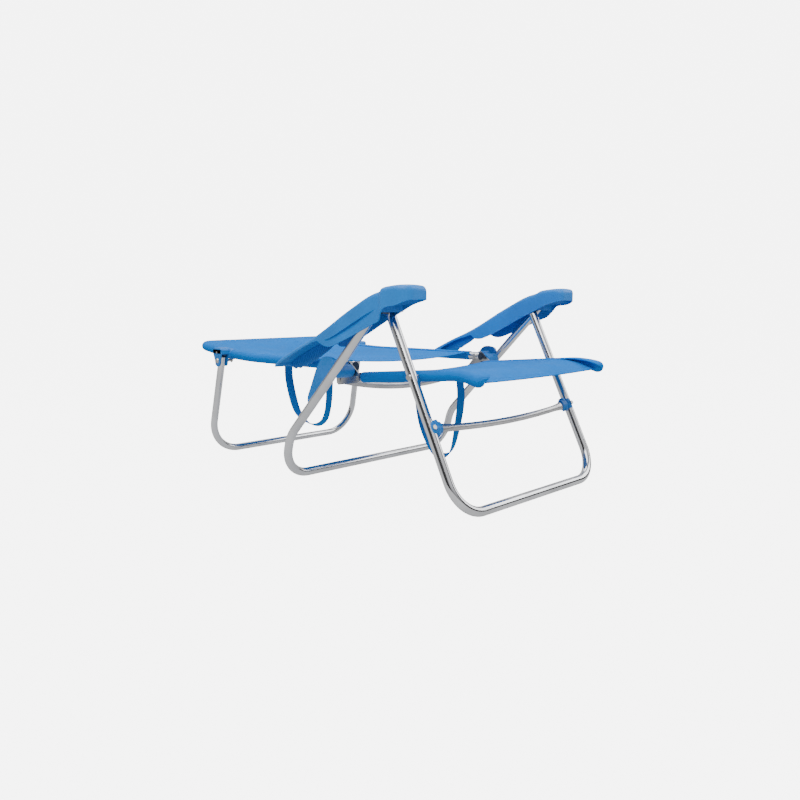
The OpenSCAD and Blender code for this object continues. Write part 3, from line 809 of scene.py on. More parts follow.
class Finishes:
    """Every finish of the chair, made once."""

    def __init__(self) -> None:
        """Builds the shared effects and the materials."""
        effects = SharedEffects()
        self.tube = MetalFinish("polished_tube", (0.80, 0.81, 0.83), 0.10, 0.08, 0.05).make(effects)
        self.satin = MetalFinish("satin_tube", (0.62, 0.62, 0.63), 0.32, 0.08, 0.06).make(effects)
        self.steel = MetalFinish("zinced_steel", (0.56, 0.55, 0.53), 0.24, 0.12, 0.03).make(effects)
        self.moulded = PlasticFinish("moulded_blue", (0.004, 0.190, 0.620), 0.42, 0.20, 0.02).make(effects)
        self.arm = PlasticFinish("armrest_blue", (0.004, 0.215, 0.680), 0.44, 0.22, 0.02).make(effects)
        self.dark = PlasticFinish("dark_plug", (0.014, 0.030, 0.060), 0.45, 0.25, 0.06).make(effects)
        # Each cloth's second colour is the painted shade in the hollows of its weave.
        self.sling = ClothFinish("sling_mesh", (0.002, 0.200, 0.680), (0.001, 0.080, 0.330),
                                 0.0030, 0.0, 0.55).make(effects)
        self.webbing = ClothFinish("ribbed_webbing", (0.003, 0.230, 0.700), (0.002, 0.110, 0.400),
                                   0.0018, 1.0, 0.50).make(effects)
        self.thread = PlasticFinish("sewing_thread", (0.020, 0.270, 0.620), 0.55, 0.30, 0.0).make(effects)


def dress(piece: bpy.types.Object, material: bpy.types.Material) -> bpy.types.Object:
    """Gives a piece its only material."""
    piece.data.materials.clear()
    piece.data.materials.append(material)
    for polygon in piece.data.polygons:
        polygon.material_index = 0
    return piece


# ---------------------------------------------------------------- sub-assemblies


class SubAssembly:
    """A part of the chair that moves as one CAD body."""

    body = "rear_legs"

    def __init__(self, sizes: ChairSizes, places: Places, finishes: Finishes, rows: RowOfPieces) -> None:
        """Keeps what every part of the chair shares.

        Args:
            sizes: the chair's sizes.
            places: its pivots.
            finishes: its materials.
            rows: the maker of repeated small pieces.
        """
        self.sizes = sizes
        self.places = places
        self.finishes = finishes
        self.rows = rows
        self.made: list[str] = []

    def keep(self, piece: bpy.types.Object, material: bpy.types.Material, slot: str,
             *nodes: str) -> bpy.types.Object:
        """Dresses a piece and hands it to the frame.

        Args:
            piece: the finished object.
            material: its finish.
            slot: not used.
            *nodes: the CAD nodes that it stands for.

        Returns:
            The same object.
        """
        dress(piece, material)
        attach(piece, self.body)
        if nodes:
            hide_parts(*nodes)
        self.made.append(piece.name)
        return piece

    def refinish(self, material: bpy.types.Material, *nodes: str) -> None:
        """Gives CAD nodes that stay as they are a better material."""
        for node in nodes:
            dress(frame["nodes"][node], material)
            self.made.append(node)

    def stitch(self, name: str, lines: Sequence[Sequence[Vector]]) -> bpy.types.Object:
        """Sews stitches along lines on a sling."""
        thread = self.finishes.thread
        stitches = self.rows.along(name, lines, STITCH_STEP, STITCH_SIZE, thread)
        return self.keep(stitches, thread, "sling_fabric")

    def hang(self, name: str, node: str, loop: "Loop", panel: str) -> None:
        """Hangs a webbing loop under a panel.

        Args:
            name: the loop's name.
            node: the CAD node that it stands for.
            loop: its place and width.
            panel: not used.
        """
        ribbon = loop.ribbon(name)
        self.keep(ribbon, self.finishes.webbing, "blue_webbing", node)
        loop.length()

    def report(self) -> None:
        """Logs the pieces that were made."""
        for name in self.made:
            log.info("%s: %s", type(self).__name__, name)

    @staticmethod
    def leg_path(side_line: Sequence[Vector], radii: Sequence[float]) -> list[Vector]:
        """Centre line of a U-shaped leg.

        Args:
            side_line: its left side, from the top down to the sharp corner at the floor.
            radii: bend radii at the line's inner corners and at the floor corner.

        Returns:
            The line down the left side, across the floor and up the right side.
        """
        mirrored = [Vector((-p.x, p.y, p.z)) for p in reversed(side_line)]
        return rounded([*side_line, *mirrored], [*radii, *reversed(radii)])


def leaning(degrees: float) -> Vector:
    """The way down a leg that leans back by some degrees."""
    turn = math.radians(degrees)
    return Vector((0, math.sin(turn), -math.cos(turn)))


class FrontLegs(SubAssembly):
    """The front leg frame with its brace."""

    body = "front_legs"
    brace_down = 0.2753
    brace_sag = 0.012
    flare = 0.060

    def make(self) -> None:
        """Builds the frame, the brace and its clips."""
        s = self.sizes
        down = leaning(-s.front_lean)
        top = self.places.axle - RIGHT * s.front_half
        normal = RIGHT.cross(down)
        length = (top.z - s.leg_r) / -down.z
        path = self.leg_path([top - down * s.leg_top, top + down * length], [s.leg_bend])
        self.keep(tube("front_frame", path, normal, s.leg_r), self.finishes.tube, "aluminium_tube",
                  "front_leg_frame")
        self._brace(normal)
        for side in Side:
            self._clip(side, normal)
        self.refinish(self.finishes.dark, "front_leg_plugs")
        self.refinish(self.finishes.steel, "brace_rivets", "seat_rivets")

    def _brace_line(self) -> tuple[Vector, Vector, float]:
        """Middle of the brace's ends, the way down the legs, and half its length."""
        s = self.sizes
        down = leaning(-s.front_lean)
        return self.places.axle + down * self.brace_down, down, s.front_half - s.leg_r - 0.002

    def _brace(self, normal: Vector) -> None:
        """The bowed brace, flattened and flared at its ends."""
        middle, down, half = self._brace_line()
        path = []
        for k in range(61):
            x = half * (k / 30 - 1)
            path.append(middle + RIGHT * x + down * (self.brace_sag * (1 - (x / half) ** 2)))

        def ring(share: float) -> list[tuple[float, float]]:
            """The brace's section, taller and thinner towards its ends."""
            near_end = ease(1 - min(share, 1 - share) * 2 * half / self.flare)
            radius = self.sizes.brace_r
            return [(a * (1 + 0.45 * near_end), b * (1 - 0.35 * near_end)) for a, b in circle(radius)]

        self.keep(sweep("front_cross_brace", stations_on(path, normal), ring), self.finishes.satin,
                  "aluminium_tube", "front_brace")

    def _clip(self, side: Side, normal: Vector) -> None:
        """The moulded collar and socket that hold one end of the brace."""
        middle, down, half = self._brace_line()
        x = side.value * (self.sizes.front_half - 0.0030)
        heights = [-0.0130, -0.0122, -0.0100, 0.0, 0.0100, 0.0122, 0.0130]
        scales = [0.88, 0.95, 1.0, 1.03, 1.0, 0.95, 0.88]
        collar = sweep(
            "collar",
            [Station(middle + RIGHT * x + down * h, down, normal, k) for h, k in zip(heights, scales)],
            lambda share: circle(self.sizes.leg_r + 0.0016),
        )
        inner = side.value * (half - 0.020)
        reach = [0.0, 0.03, 0.10, 0.60, 0.95, 1.0]
        swell = [0.80, 0.93, 1.0, 1.08, 1.02, 0.9]
        socket = sweep(
            "socket",
            [Station(middle + RIGHT * (inner + (x - inner) * t), RIGHT, normal, k)
             for t, k in zip(reach, swell)],
            lambda share: [(a * 1.36, b * 0.86) for a, b in circle(self.sizes.brace_r + 0.0022)],
        )
        lug = sweep(
            "lug",
            [Station(middle + RIGHT * (side.value * (half - 0.006)) + down * h, down, normal, k)
             for h, k in ((-0.0175, 0.70), (-0.0165, 0.92), (-0.012, 1.0), (0.006, 1.0), (0.016, 0.86))],
            lambda share: circle(0.0082),
        )
        self.keep(joined(f"brace_collar_{side.label}", [collar, socket, lug]), self.finishes.moulded,
                  "blue_moulded", f"brace_clip_{side.label}")


class RearLegs(SubAssembly):
    """The rear leg frame with the blocks and links beside the hinge."""

    body = "rear_legs"
    spacer_down = 0.200
    link_outline = (
        (0.007, 0.200), (0.012, 0.186), (0.024, 0.182), (0.044, 0.196), (0.0515, 0.212), (0.047, 0.242),
        (0.038, 0.270), (0.031, 0.290), (0.025, 0.309), (0.017, 0.321), (0.007, 0.323), (0.006, 0.300),
        (0.006, 0.260), (0.010, 0.226),
    )

    def make(self) -> None:
        """Builds the frame, the blocks and the links."""
        s = self.sizes
        down, foot = leaning(s.rear_lean), leaning(s.rear_foot_lean)
        back = RIGHT.cross(down)
        top = self.places.axle - RIGHT * s.rear_half
        knee = top + down * ((top.z - s.leg_r - s.rear_knee_z) / -down.z)
        floor = knee + foot * (s.rear_knee_z / -foot.z)
        path = self.leg_path([top - down * s.leg_top, knee, floor], [s.rear_knee_r, s.leg_bend])
        self.keep(tube("rear_frame", path, back, s.leg_r), self.finishes.tube, "aluminium_tube",
                  "rear_leg_frame", "rear_leg_left", "rear_leg_right")
        for side in Side:
            self._block(side, down)
            self._link(side, down, back)
        self.keep(self._axles(), self.finishes.steel, "steel_rivet", "arm_axles", "spacer_rivets")
        self.refinish(self.finishes.dark, "rear_leg_plugs", "axle_washers")
        self.refinish(self.finishes.steel, "link_rivets")

    def _axles(self) -> bpy.types.Object:
        """The two axles, which end inside the armrests. They stand for the blocks' hidden rivets too."""
        rods = []
        for side in Side:
            ends = [self.places.axle + RIGHT * (side.value * x) for x in (0.2545, 0.3190)]
            rods.append(sweep("axle", stations_on(ends, Vector((0, 0, 1))), lambda share: circle(0.004)))
        return joined("hidden_axles", rods)

    def _block(self, side: Side, down: Vector) -> None:
        """The block between the rear leg and the hinge: a lobed slab across X."""
        leg = self.places.axle + down * self.spacer_down
        hinge = self.places.hinge
        low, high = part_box(f"hinge_spacer_{side.label}")
        start, end = (high.x, low.x) if side is Side.LEFT else (low.x, high.x)
        outline = []
        for centre, radius, first, last in ((leg, 0.015, 60, 300), (hinge, 0.013, -110, 110)):
            for k in range(13):
                turn = math.radians(first + (last - first) * k / 12)
                outline.append(Vector((start, centre.y + radius * math.cos(turn),
                                       centre.z + radius * math.sin(turn))))
        slab = prism("slab", outline, RIGHT * ((end - start) * 0.55), 0.0025)
        barrel = sweep(
            "barrel",
            [Station(Vector((start + (end - start) * t, leg.y, leg.z)), RIGHT, Vector((0, 0, 1)), k)
             for t, k in ((0.30, 0.9), (0.34, 1.0), (0.66, 1.0), (0.72, 0.93), (0.76, 0.80))],
            lambda share: circle(0.0145),
        )
        self.keep(joined(f"hinge_block_{side.label}", [slab, barrel]), self.finishes.moulded, "blue_moulded",
                  f"hinge_spacer_{side.label}")

    def _link(self, side: Side, down: Vector, back: Vector) -> None:
        """The curved link that lies along the rear leg."""
        s = self.sizes
        x = side.value * (s.rear_half - 0.008)
        corners = [self.places.axle + RIGHT * x + back * v + down * w for v, w in self.link_outline]
        outline = spline([*corners, corners[0]], 4)[:-1]
        self.keep(prism(f"curved_link_{side.label}", outline, RIGHT * (side.value * 0.010), 0.0022),
                  self.finishes.moulded, "blue_moulded", f"leg_link_{side.label}")


@dataclass(frozen=True)
class Run:
    """A place along the seat or the back: where the tubes' middle plane is, and how it is turned."""

    at: Vector
    along: Vector
    up: Vector


@dataclass(frozen=True)
class Sling:
    """A sling stretched between two side tubes.

    run_at gives the place at a distance along the tubes, half_at the half width there, sag_at the sag
    in the middle and top_at the height of the face over the tubes' centres.
    """

    run_at: Callable[[float], Run]
    half_at: Callable[[float], float]
    sag_at: Callable[[float], float]
    top_at: Callable[[float], float]
    start: float
    end: float

    def point(self, across: float, along: float, lift: float = 0.0) -> Vector:
        """A point of the upper face.

        Args:
            across: from -1 at the left tube to 1 at the right one.
            along: distance along the tubes.
            lift: height above the face.

        Returns:
            The point.
        """
        run = self.run_at(along)
        return (
            run.at + RIGHT * (across * self.half_at(along))
            + run.up * (self.top_at(along) + lift - self.sag_at(along) * (1 - across * across))
        )

    def panel(self, name: str, thickness: float) -> bpy.types.Object:
        """The sheet between the tubes, as one cloth of a given thickness."""
        columns, rows = 64, max(24, round((self.end - self.start) / 0.006))
        points, faces, uvs = [], [], []
        for j in range(rows + 1):
            along = self.start + (self.end - self.start) * j / rows
            points.extend(self.point(2 * i / columns - 1, along) for i in range(columns + 1))
        wide, step = 2 * self.half_at(self.start), (self.end - self.start) / rows
        for j in range(rows):
            for i in range(columns):
                a = j * (columns + 1) + i
                faces.append((a, a + 1, a + columns + 2, a + columns + 1))
                u, v = wide * i / columns, step * j
                uvs.append([(u, v), (u + wide / columns, v), (u + wide / columns, v + step), (u, v + step)])
        made = build(name, points, faces, uvs)
        if made.data.polygons[0].normal.z < 0:
            made.data.flip_normals()
        thick = made.modifiers.new("cloth", "SOLIDIFY")
        thick.thickness = thickness
        thick.offset = -1
        return made

    def seam(self, across: float, inset: float, lift: float) -> list[Vector]:
        """A line along the tubes, for stitches."""
        count = max(8, round((self.end - self.start) / 0.010))
        line = []
        for k in range(count + 1):
            along = self.start + inset + (self.end - self.start - 2 * inset) * k / count
            line.append(self.point(across, along, lift))
        return line

    def hem(self, along: float) -> list[Vector]:
        """A line from tube to tube, for stitches."""
        return [self.point(0.90 * (k / 20 - 1), along, STITCH_LIFT) for k in range(41)]


def sleeve_ring(radius: float) -> list[tuple[float, float]]:
    """Section of a fabric sleeve: round the tube, and drawn to a seam under the panel.

    Args:
        radius: outer radius, which is also the height of the panel over the tube's centre.

    Returns:
        (inboard, up) points.
    """
    turns = 26
    ring = []
    for k in range(turns + 1):
        angle = math.radians(90 + 232 * k / turns)
        ring.append((radius * math.cos(angle), radius * math.sin(angle)))
    seam = ((0.55, 0.0070), (1.0, 0.0030), (1.0, 0.0012), (0.5, 0.0006))
    ring += [(inboard * SLEEVE_TAIL, radius - drop) for inboard, drop in seam]
    return ring


@dataclass(frozen=True)
class Loop:
    """A hanging loop of flat webbing: where it hangs across the chair, its width and (y, z) outline."""

    x: float
    width: float
    outline: Outline
    thickness: float = 0.0016
    twist: float = 24.0

    def line(self) -> list[Vector]:
        """The smooth line along the loop."""
        return spline([Vector((self.x, y, z)) for y, z in self.outline], 8)

    def length(self) -> float:
        """Length of the loop's line."""
        line = self.line()
        return sum((b - a).length for a, b in zip(line, line[1:]))

    def ribbon(self, name: str) -> bpy.types.Object:
        """The webbing, turned a little along its way, with a thickness."""
        line = self.line()
        last, strips = len(line) - 1, 4
        points, faces, uvs = [], [], []
        run = 0.0
        for i, p in enumerate(line):
            share = i / last
            along = (line[min(i + 1, last)] - line[max(i - 1, 0)]).normalized()
            sway = math.sin(math.pi * share) * math.cos(2.2 * math.pi * share)
            wide = Matrix.Rotation(math.radians(self.twist) * sway, 3, along) @ RIGHT
            points += [p + wide * (self.width * (k / strips - 0.5)) for k in range(strips + 1)]
        for i in range(last):
            step = (line[i + 1] - line[i]).length
            for k in range(strips):
                a = i * (strips + 1) + k
                faces.append((a, a + 1, a + strips + 2, a + strips + 1))
                u, w = self.width * k / strips, self.width / strips
                uvs.append([(run, u), (run, u + w), (run + step, u + w), (run + step, u)])
            run += step
        made = build(name, points, faces, uvs)
        thick = made.modifiers.new("webbing", "SOLIDIFY")
        thick.thickness = self.thickness
        thick.offset = 0
        return made


class Seat(SubAssembly):
    """The seat: side tubes, rear bar, hinge plates, sling and a webbing loop."""

    body = "seat"
    bar_from_rivet = 0.256
    bar_drop = -0.004
    bar_sag = 0.030
    fabric_end = 0.183
    sag = 0.011
    loop = Loop(-0.150, 0.022, (
        (-0.404, 0.288), (-0.409, 0.233), (-0.400, 0.172), (-0.386, 0.120), (-0.366, 0.102),
        (-0.335, 0.106), (-0.300, 0.150), (-0.284, 0.198), (-0.276, 0.272),
    ))

    def run_at(self, along: float) -> Run:
        """The place at a distance behind the rivet, or before it where that is negative."""
        s = self.sizes
        if along < -s.seat_front:
            turn = (-along - s.seat_front) / s.nose_r
            y, z = -s.seat_front - s.nose_r * math.sin(turn), -s.nose_r * (1 - math.cos(turn))
        else:
            turn, y, z = 0.0, along, 0.0
        level = Matrix.Rotation(math.radians(-s.seat_slope), 3, "X")
        tilt = Matrix.Rotation(math.radians(-s.seat_slope) + turn, 3, "X")
        return Run(self.places.rivet + level @ Vector((0, y, z)), tilt @ Vector((0, 1, 0)),
                   tilt @ Vector((0, 0, 1)))

    def nose_end(self) -> float:
        """Distance of the nose's end from the rivet, negative."""
        s = self.sizes
        return -s.seat_front - s.nose_r * math.radians(s.nose_angle)

    def make(self) -> None:
        """Builds the tubes, the bar, the sling and the loop."""
        for side in Side:
            self._tube(side)
        self._rear_bar()
        self._sling()
        self.hang("front_carry_loop", "strap_front", self.loop, "seat_panel")
        self.refinish(self.finishes.steel, "hinge_plate_left", "hinge_plate_right", "plate_rivets",
                      "hinge_pins")

    def _stations(self, side: Side, start: float, end: float, step: float = 0.008) -> list[Station]:
        """Stations along one side tube, running so that inboard is across them."""
        count = round((end - start) / step)
        made = []
        for k in range(count + 1):
            run = self.run_at(start + (end - start) * k / count)
            at = run.at + RIGHT * (side.value * self.sizes.seat_half)
            made.append(Station(at, run.along * -side.value, run.up))
        return made

    def _tube(self, side: Side) -> None:
        """One side tube."""
        s = self.sizes
        stations = self._stations(side, self.nose_end(), s.seat_rear)
        self.keep(sweep(f"seat_side_tube_{side.label}", stations, lambda share: circle(s.side_r)),
                  self.finishes.tube, "aluminium_tube", f"seat_tube_{side.label}")

    def _rear_bar(self) -> None:
        """The bowed bar behind the seat."""
        s = self.sizes
        run = self.run_at(self.bar_from_rivet)
        middle = run.at + run.up * self.bar_drop
        half = s.seat_half + s.side_r
        path = []
        for k in range(61):
            x = half * (k / 30 - 1)
            path.append(middle + RIGHT * x - run.up * (self.bar_sag * (1 - (x / half) ** 2)))
        self.keep(tube("seat_rear_bow", path, run.along, s.rear_bar_r), self.finishes.satin,
                  "aluminium_tube", "seat_rear_bar")

    def _sling(self) -> None:
        """The panel, the sleeves with their closed noses, and the stitches."""
        s = self.sizes
        start = self.nose_end()

        def sag_at(along: float) -> float:
            """Less sag at the front hem, which is pulled tight."""
            return self.sag * (0.30 + 0.70 * ease((along - start) / 0.12))

        def top_at(along: float) -> float:
            """The face falls towards the underside of the noses at the front hem."""
            return s.sleeve_r - 0.017 * (1 - ease((along - start) / 0.110))

        sling = Sling(self.run_at, lambda along: s.seat_half, sag_at, top_at, start, self.fabric_end)
        panel = sling.panel("seat_panel", s.fabric_t)
        self.keep(panel, self.finishes.sling, "sling_fabric", "seat_fabric")
        for side in Side:
            self.keep(self._sleeve(side, start), self.finishes.sling, "sling_fabric",
                                     "seat_nose_plugs")
        lines = [sling.seam(side.value * (1 - offset / s.seat_half), 0.006, STITCH_LIFT)
                 for side in Side for offset in SEAM_INSETS]
        lines += [sling.hem(along) for along in (start + HEM_INSET, self.fabric_end - HEM_INSET)]
        stitches = self.stitch("seat_stitches", lines)

    def _sleeve(self, side: Side, start: float) -> bpy.types.Object:
        """One sleeve, swollen and closed at the nose."""
        s = self.sizes
        first = self._stations(side, start, self.fabric_end)
        nose = first[0]
        away = nose.along * side.value
        closing = ((0.0125, 0.02), (0.0120, 0.35), (0.0100, 0.68), (0.0070, 0.90), (0.0035, 1.04))
        caps = [Station(nose.at + away * reach, nose.along, nose.up, size) for reach, size in closing]
        grown = []
        for k, station in enumerate(first):
            swell = 1 + 0.12 * ease(1 - k * 0.008 / 0.040)
            grown.append(Station(station.at, station.along, station.up, swell))
        ring = sleeve_ring(s.sleeve_r)
        return sweep(f"seat_sleeve_{side.label}", [*caps, *grown], lambda share: ring)


class Back(SubAssembly):
    """The back: its bent tube, the sling, the brackets of the head-end leg and a webbing loop."""

    body = "back"
    fabric_start = 0.024
    sag = 0.016
    bracket_at = 0.522
    loop = Loop(-0.178, 0.024, (
        (0.176, 0.286), (0.172, 0.230), (0.145, 0.160), (0.110, 0.130), (0.072, 0.122),
        (0.040, 0.130), (0.018, 0.152), (0.006, 0.200), (0.003, 0.288),
    ))

    def run_at(self, along: float) -> Run:
        """The place at a distance behind the hinge."""
        s = self.sizes
        curve = s.head_curve_r * math.radians(s.head_curve_angle)
        turn = min(max(along - s.back_straight, 0.0), curve) / s.head_curve_r
        past = max(along - s.back_straight - curve, 0.0)
        y = min(along, s.back_straight) + s.head_curve_r * math.sin(turn)
        z = s.head_curve_r * (1 - math.cos(turn))
        dip = Matrix.Rotation(math.radians(-s.back_dip), 3, "X")
        tilt = dip @ Matrix.Rotation(turn, 3, "X")
        ahead, up = tilt @ Vector((0, 1, 0)), tilt @ Vector((0, 0, 1))
        return Run(self.places.hinge + dip @ Vector((0, y, z)) + ahead * past, ahead, up)

    def corner_start(self) -> float:
        """Distance from the hinge at which the head corners begin."""
        s = self.sizes
        return s.back_straight + s.head_curve_r * math.radians(s.head_curve_angle)

    def half_at(self, along: float) -> float:
        """Half width of the panel, which rounds off at the head corners."""
        s = self.sizes
        into = min(max(along - self.corner_start(), 0.0), s.head_corner_r)
        return s.seat_half - s.head_corner_r + math.sqrt(max(s.head_corner_r**2 - into**2, 0.0))

    def make(self) -> None:
        """Builds the tube, the sling, the brackets and the loop."""
        s = self.sizes
        frame_line = self._frame_stations(-s.side_r)
        self.keep(sweep("back_frame", frame_line, lambda share: circle(s.side_r)), self.finishes.tube,
                  "aluminium_tube", "back_tube_left", "back_tube_right", "head_bar")
        self._sling()
        for side in Side:
            self._bracket(side)
        self.hang("rear_carry_loop", "strap_rear", self.loop, "back_panel")
        self.refinish(self.finishes.dark, "back_tube_plugs", "notch_rollers")
        self.refinish(self.finishes.steel, "notch_pins", "bracket_rivets", "back_leg_pins")

    def _frame_stations(self, start: float) -> list[Station]:
        """Stations along the whole bent tube, from the left hinge round the head to the right one."""
        s = self.sizes
        up_the_side = []
        end = self.corner_start()
        count = 72
        for k in range(count + 1):
            run = self.run_at(start + (end - start) * k / count)
            up_the_side.append(Station(run.at - RIGHT * s.seat_half, run.along, run.up))
        run = self.run_at(end)
        centre = run.at - RIGHT * (s.seat_half - s.head_corner_r)
        corner = []
        for k in range(1, 13):
            turn = math.radians(90) * k / 12
            at = centre + (run.along * math.sin(turn) - RIGHT * math.cos(turn)) * s.head_corner_r
            corner.append(Station(at, run.along * math.cos(turn) + RIGHT * math.sin(turn), run.up))
        across = []
        reach = s.seat_half - s.head_corner_r
        for k in range(1, 20):
            across.append(Station(corner[-1].at + RIGHT * (reach * 2 * k / 20), RIGHT, run.up))
        left = [*up_the_side, *corner]
        right = [
            Station(Vector((-p.at.x, p.at.y, p.at.z)), Vector((p.along.x, -p.along.y, -p.along.z)), p.up)
            for p in reversed(left)
        ]
        return [*left, *across, *right]

    def _sling(self) -> None:
        """The panel, the sleeve round the whole tube, and the stitches."""
        s = self.sizes
        end = self.corner_start() + s.head_corner_r

        def sag_at(along: float) -> float:
            """No sag at the head, where the panel meets the tube."""
            return self.sag * ease((end - along) / 0.20) * (0.75 + 0.25 * ease((along - 0.02) / 0.1))

        sling = Sling(self.run_at, self.half_at, sag_at, lambda along: s.sleeve_r, self.fabric_start, end)
        panel = sling.panel("back_panel", s.fabric_t)
        self.keep(panel, self.finishes.sling, "sling_fabric", "back_fabric")
        ring = sleeve_ring(s.sleeve_r)
        sleeve = sweep("back_sleeve", self._frame_stations(self.fabric_start), lambda share: ring)
        self.keep(sleeve, self.finishes.sling, "sling_fabric", "head_fabric")
        lines = [self._inset_line(sling, offset) for offset in SEAM_INSETS]
        lines.append(sling.hem(self.fabric_start + HEM_INSET))
        stitches = self.stitch("back_stitches", lines)

    def _inset_line(self, sling: Sling, inset: float) -> list[Vector]:
        """A seam line that keeps inboard of the tube all the way round."""
        s = self.sizes
        line = []
        for station in self._frame_stations(self.fabric_start + 0.006):
            at = station.at + station.side * inset
            across = at.x / s.seat_half
            along = max(self.fabric_start, at.y - self.places.hinge.y)
            drop = sling.sag_at(along) * (1 - min(1.0, across * across))
            line.append(at + station.up * (s.sleeve_r + STITCH_LIFT - drop))
        return line

    def _bracket(self, side: Side) -> None:
        """The forked bracket over the top of the head-end leg."""
        s = self.sizes
        run = self.run_at(self.bracket_at)
        pivot = self.places.head_pivot
        low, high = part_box(f"back_leg_bracket_{side.label}")
        outer = low.x if side is Side.LEFT else high.x
        wedge = ((-0.022, 0.033), (0.022, 0.033), (0.021, 0.020), (0.013, 0.000), (0.0105, -0.012),
                 (0.004, -0.0165), (-0.004, -0.0165), (-0.0105, -0.012), (-0.013, 0.000), (-0.021, 0.020))
        leg_out = side.value * (s.head_half + s.head_leg_r + 0.0006)
        corners = [Vector((leg_out, pivot.y + y, pivot.z + z)) for y, z in wedge]
        cheek = prism("cheek", corners, RIGHT * (outer - leg_out), 0.0016)
        leg_in = side.value * (s.head_half - s.head_leg_r - 0.0006)
        inner_wall = prism("inner_wall", [Vector((leg_in, p.y, p.z)) for p in corners],
                           RIGHT * (-side.value * 0.0030), 0.0012)
        roof = [Vector((0, pivot.y + y, pivot.z + z)) for y, z in
                ((-0.0205, 0.0185), (0.0205, 0.0185), (0.0215, 0.030), (0.0160, 0.036), (-0.0160, 0.036),
                 (-0.0215, 0.030))]
        shift = RIGHT * (side.value * (s.seat_half + 0.006))
        cap = prism("cap", [p + shift for p in roof], RIGHT * (outer - shift.x), 0.0016)
        saddle = sweep(
            "saddle",
            [Station(run.at + RIGHT * (side.value * s.seat_half) + run.along * t, run.along, run.up, k)
             for t, k in ((-0.024, 0.94), (-0.0225, 1.0), (0.0225, 1.0), (0.024, 0.94))],
            lambda share: circle(s.sleeve_r + 0.0022),
        )
        self.keep(joined(f"leg_fork_{side.label}", [cheek, inner_wall, cap, saddle]), self.finishes.moulded,
                  "blue_moulded", f"back_leg_bracket_{side.label}")


class HeadLeg(SubAssembly):
    """The U-shaped leg under the head end."""

    body = "back_leg"

    def make(self) -> None:
        """Builds the frame."""
        s = self.sizes
        down = leaning(s.head_lean)
        top = self.places.head_pivot - RIGHT * s.head_half
        floor = top + down * ((top.z - s.head_leg_r) / -down.z) - RIGHT * s.head_splay
        path = self.leg_path([top - down * 0.011, top + down * 0.010, floor], [0.10, s.head_bend])
        self.keep(tube("head_leg_frame", path, RIGHT.cross(down), s.head_leg_r), self.finishes.tube,
                  "aluminium_tube", "back_leg_frame")
        self.refinish(self.finishes.dark, "back_leg_plugs")


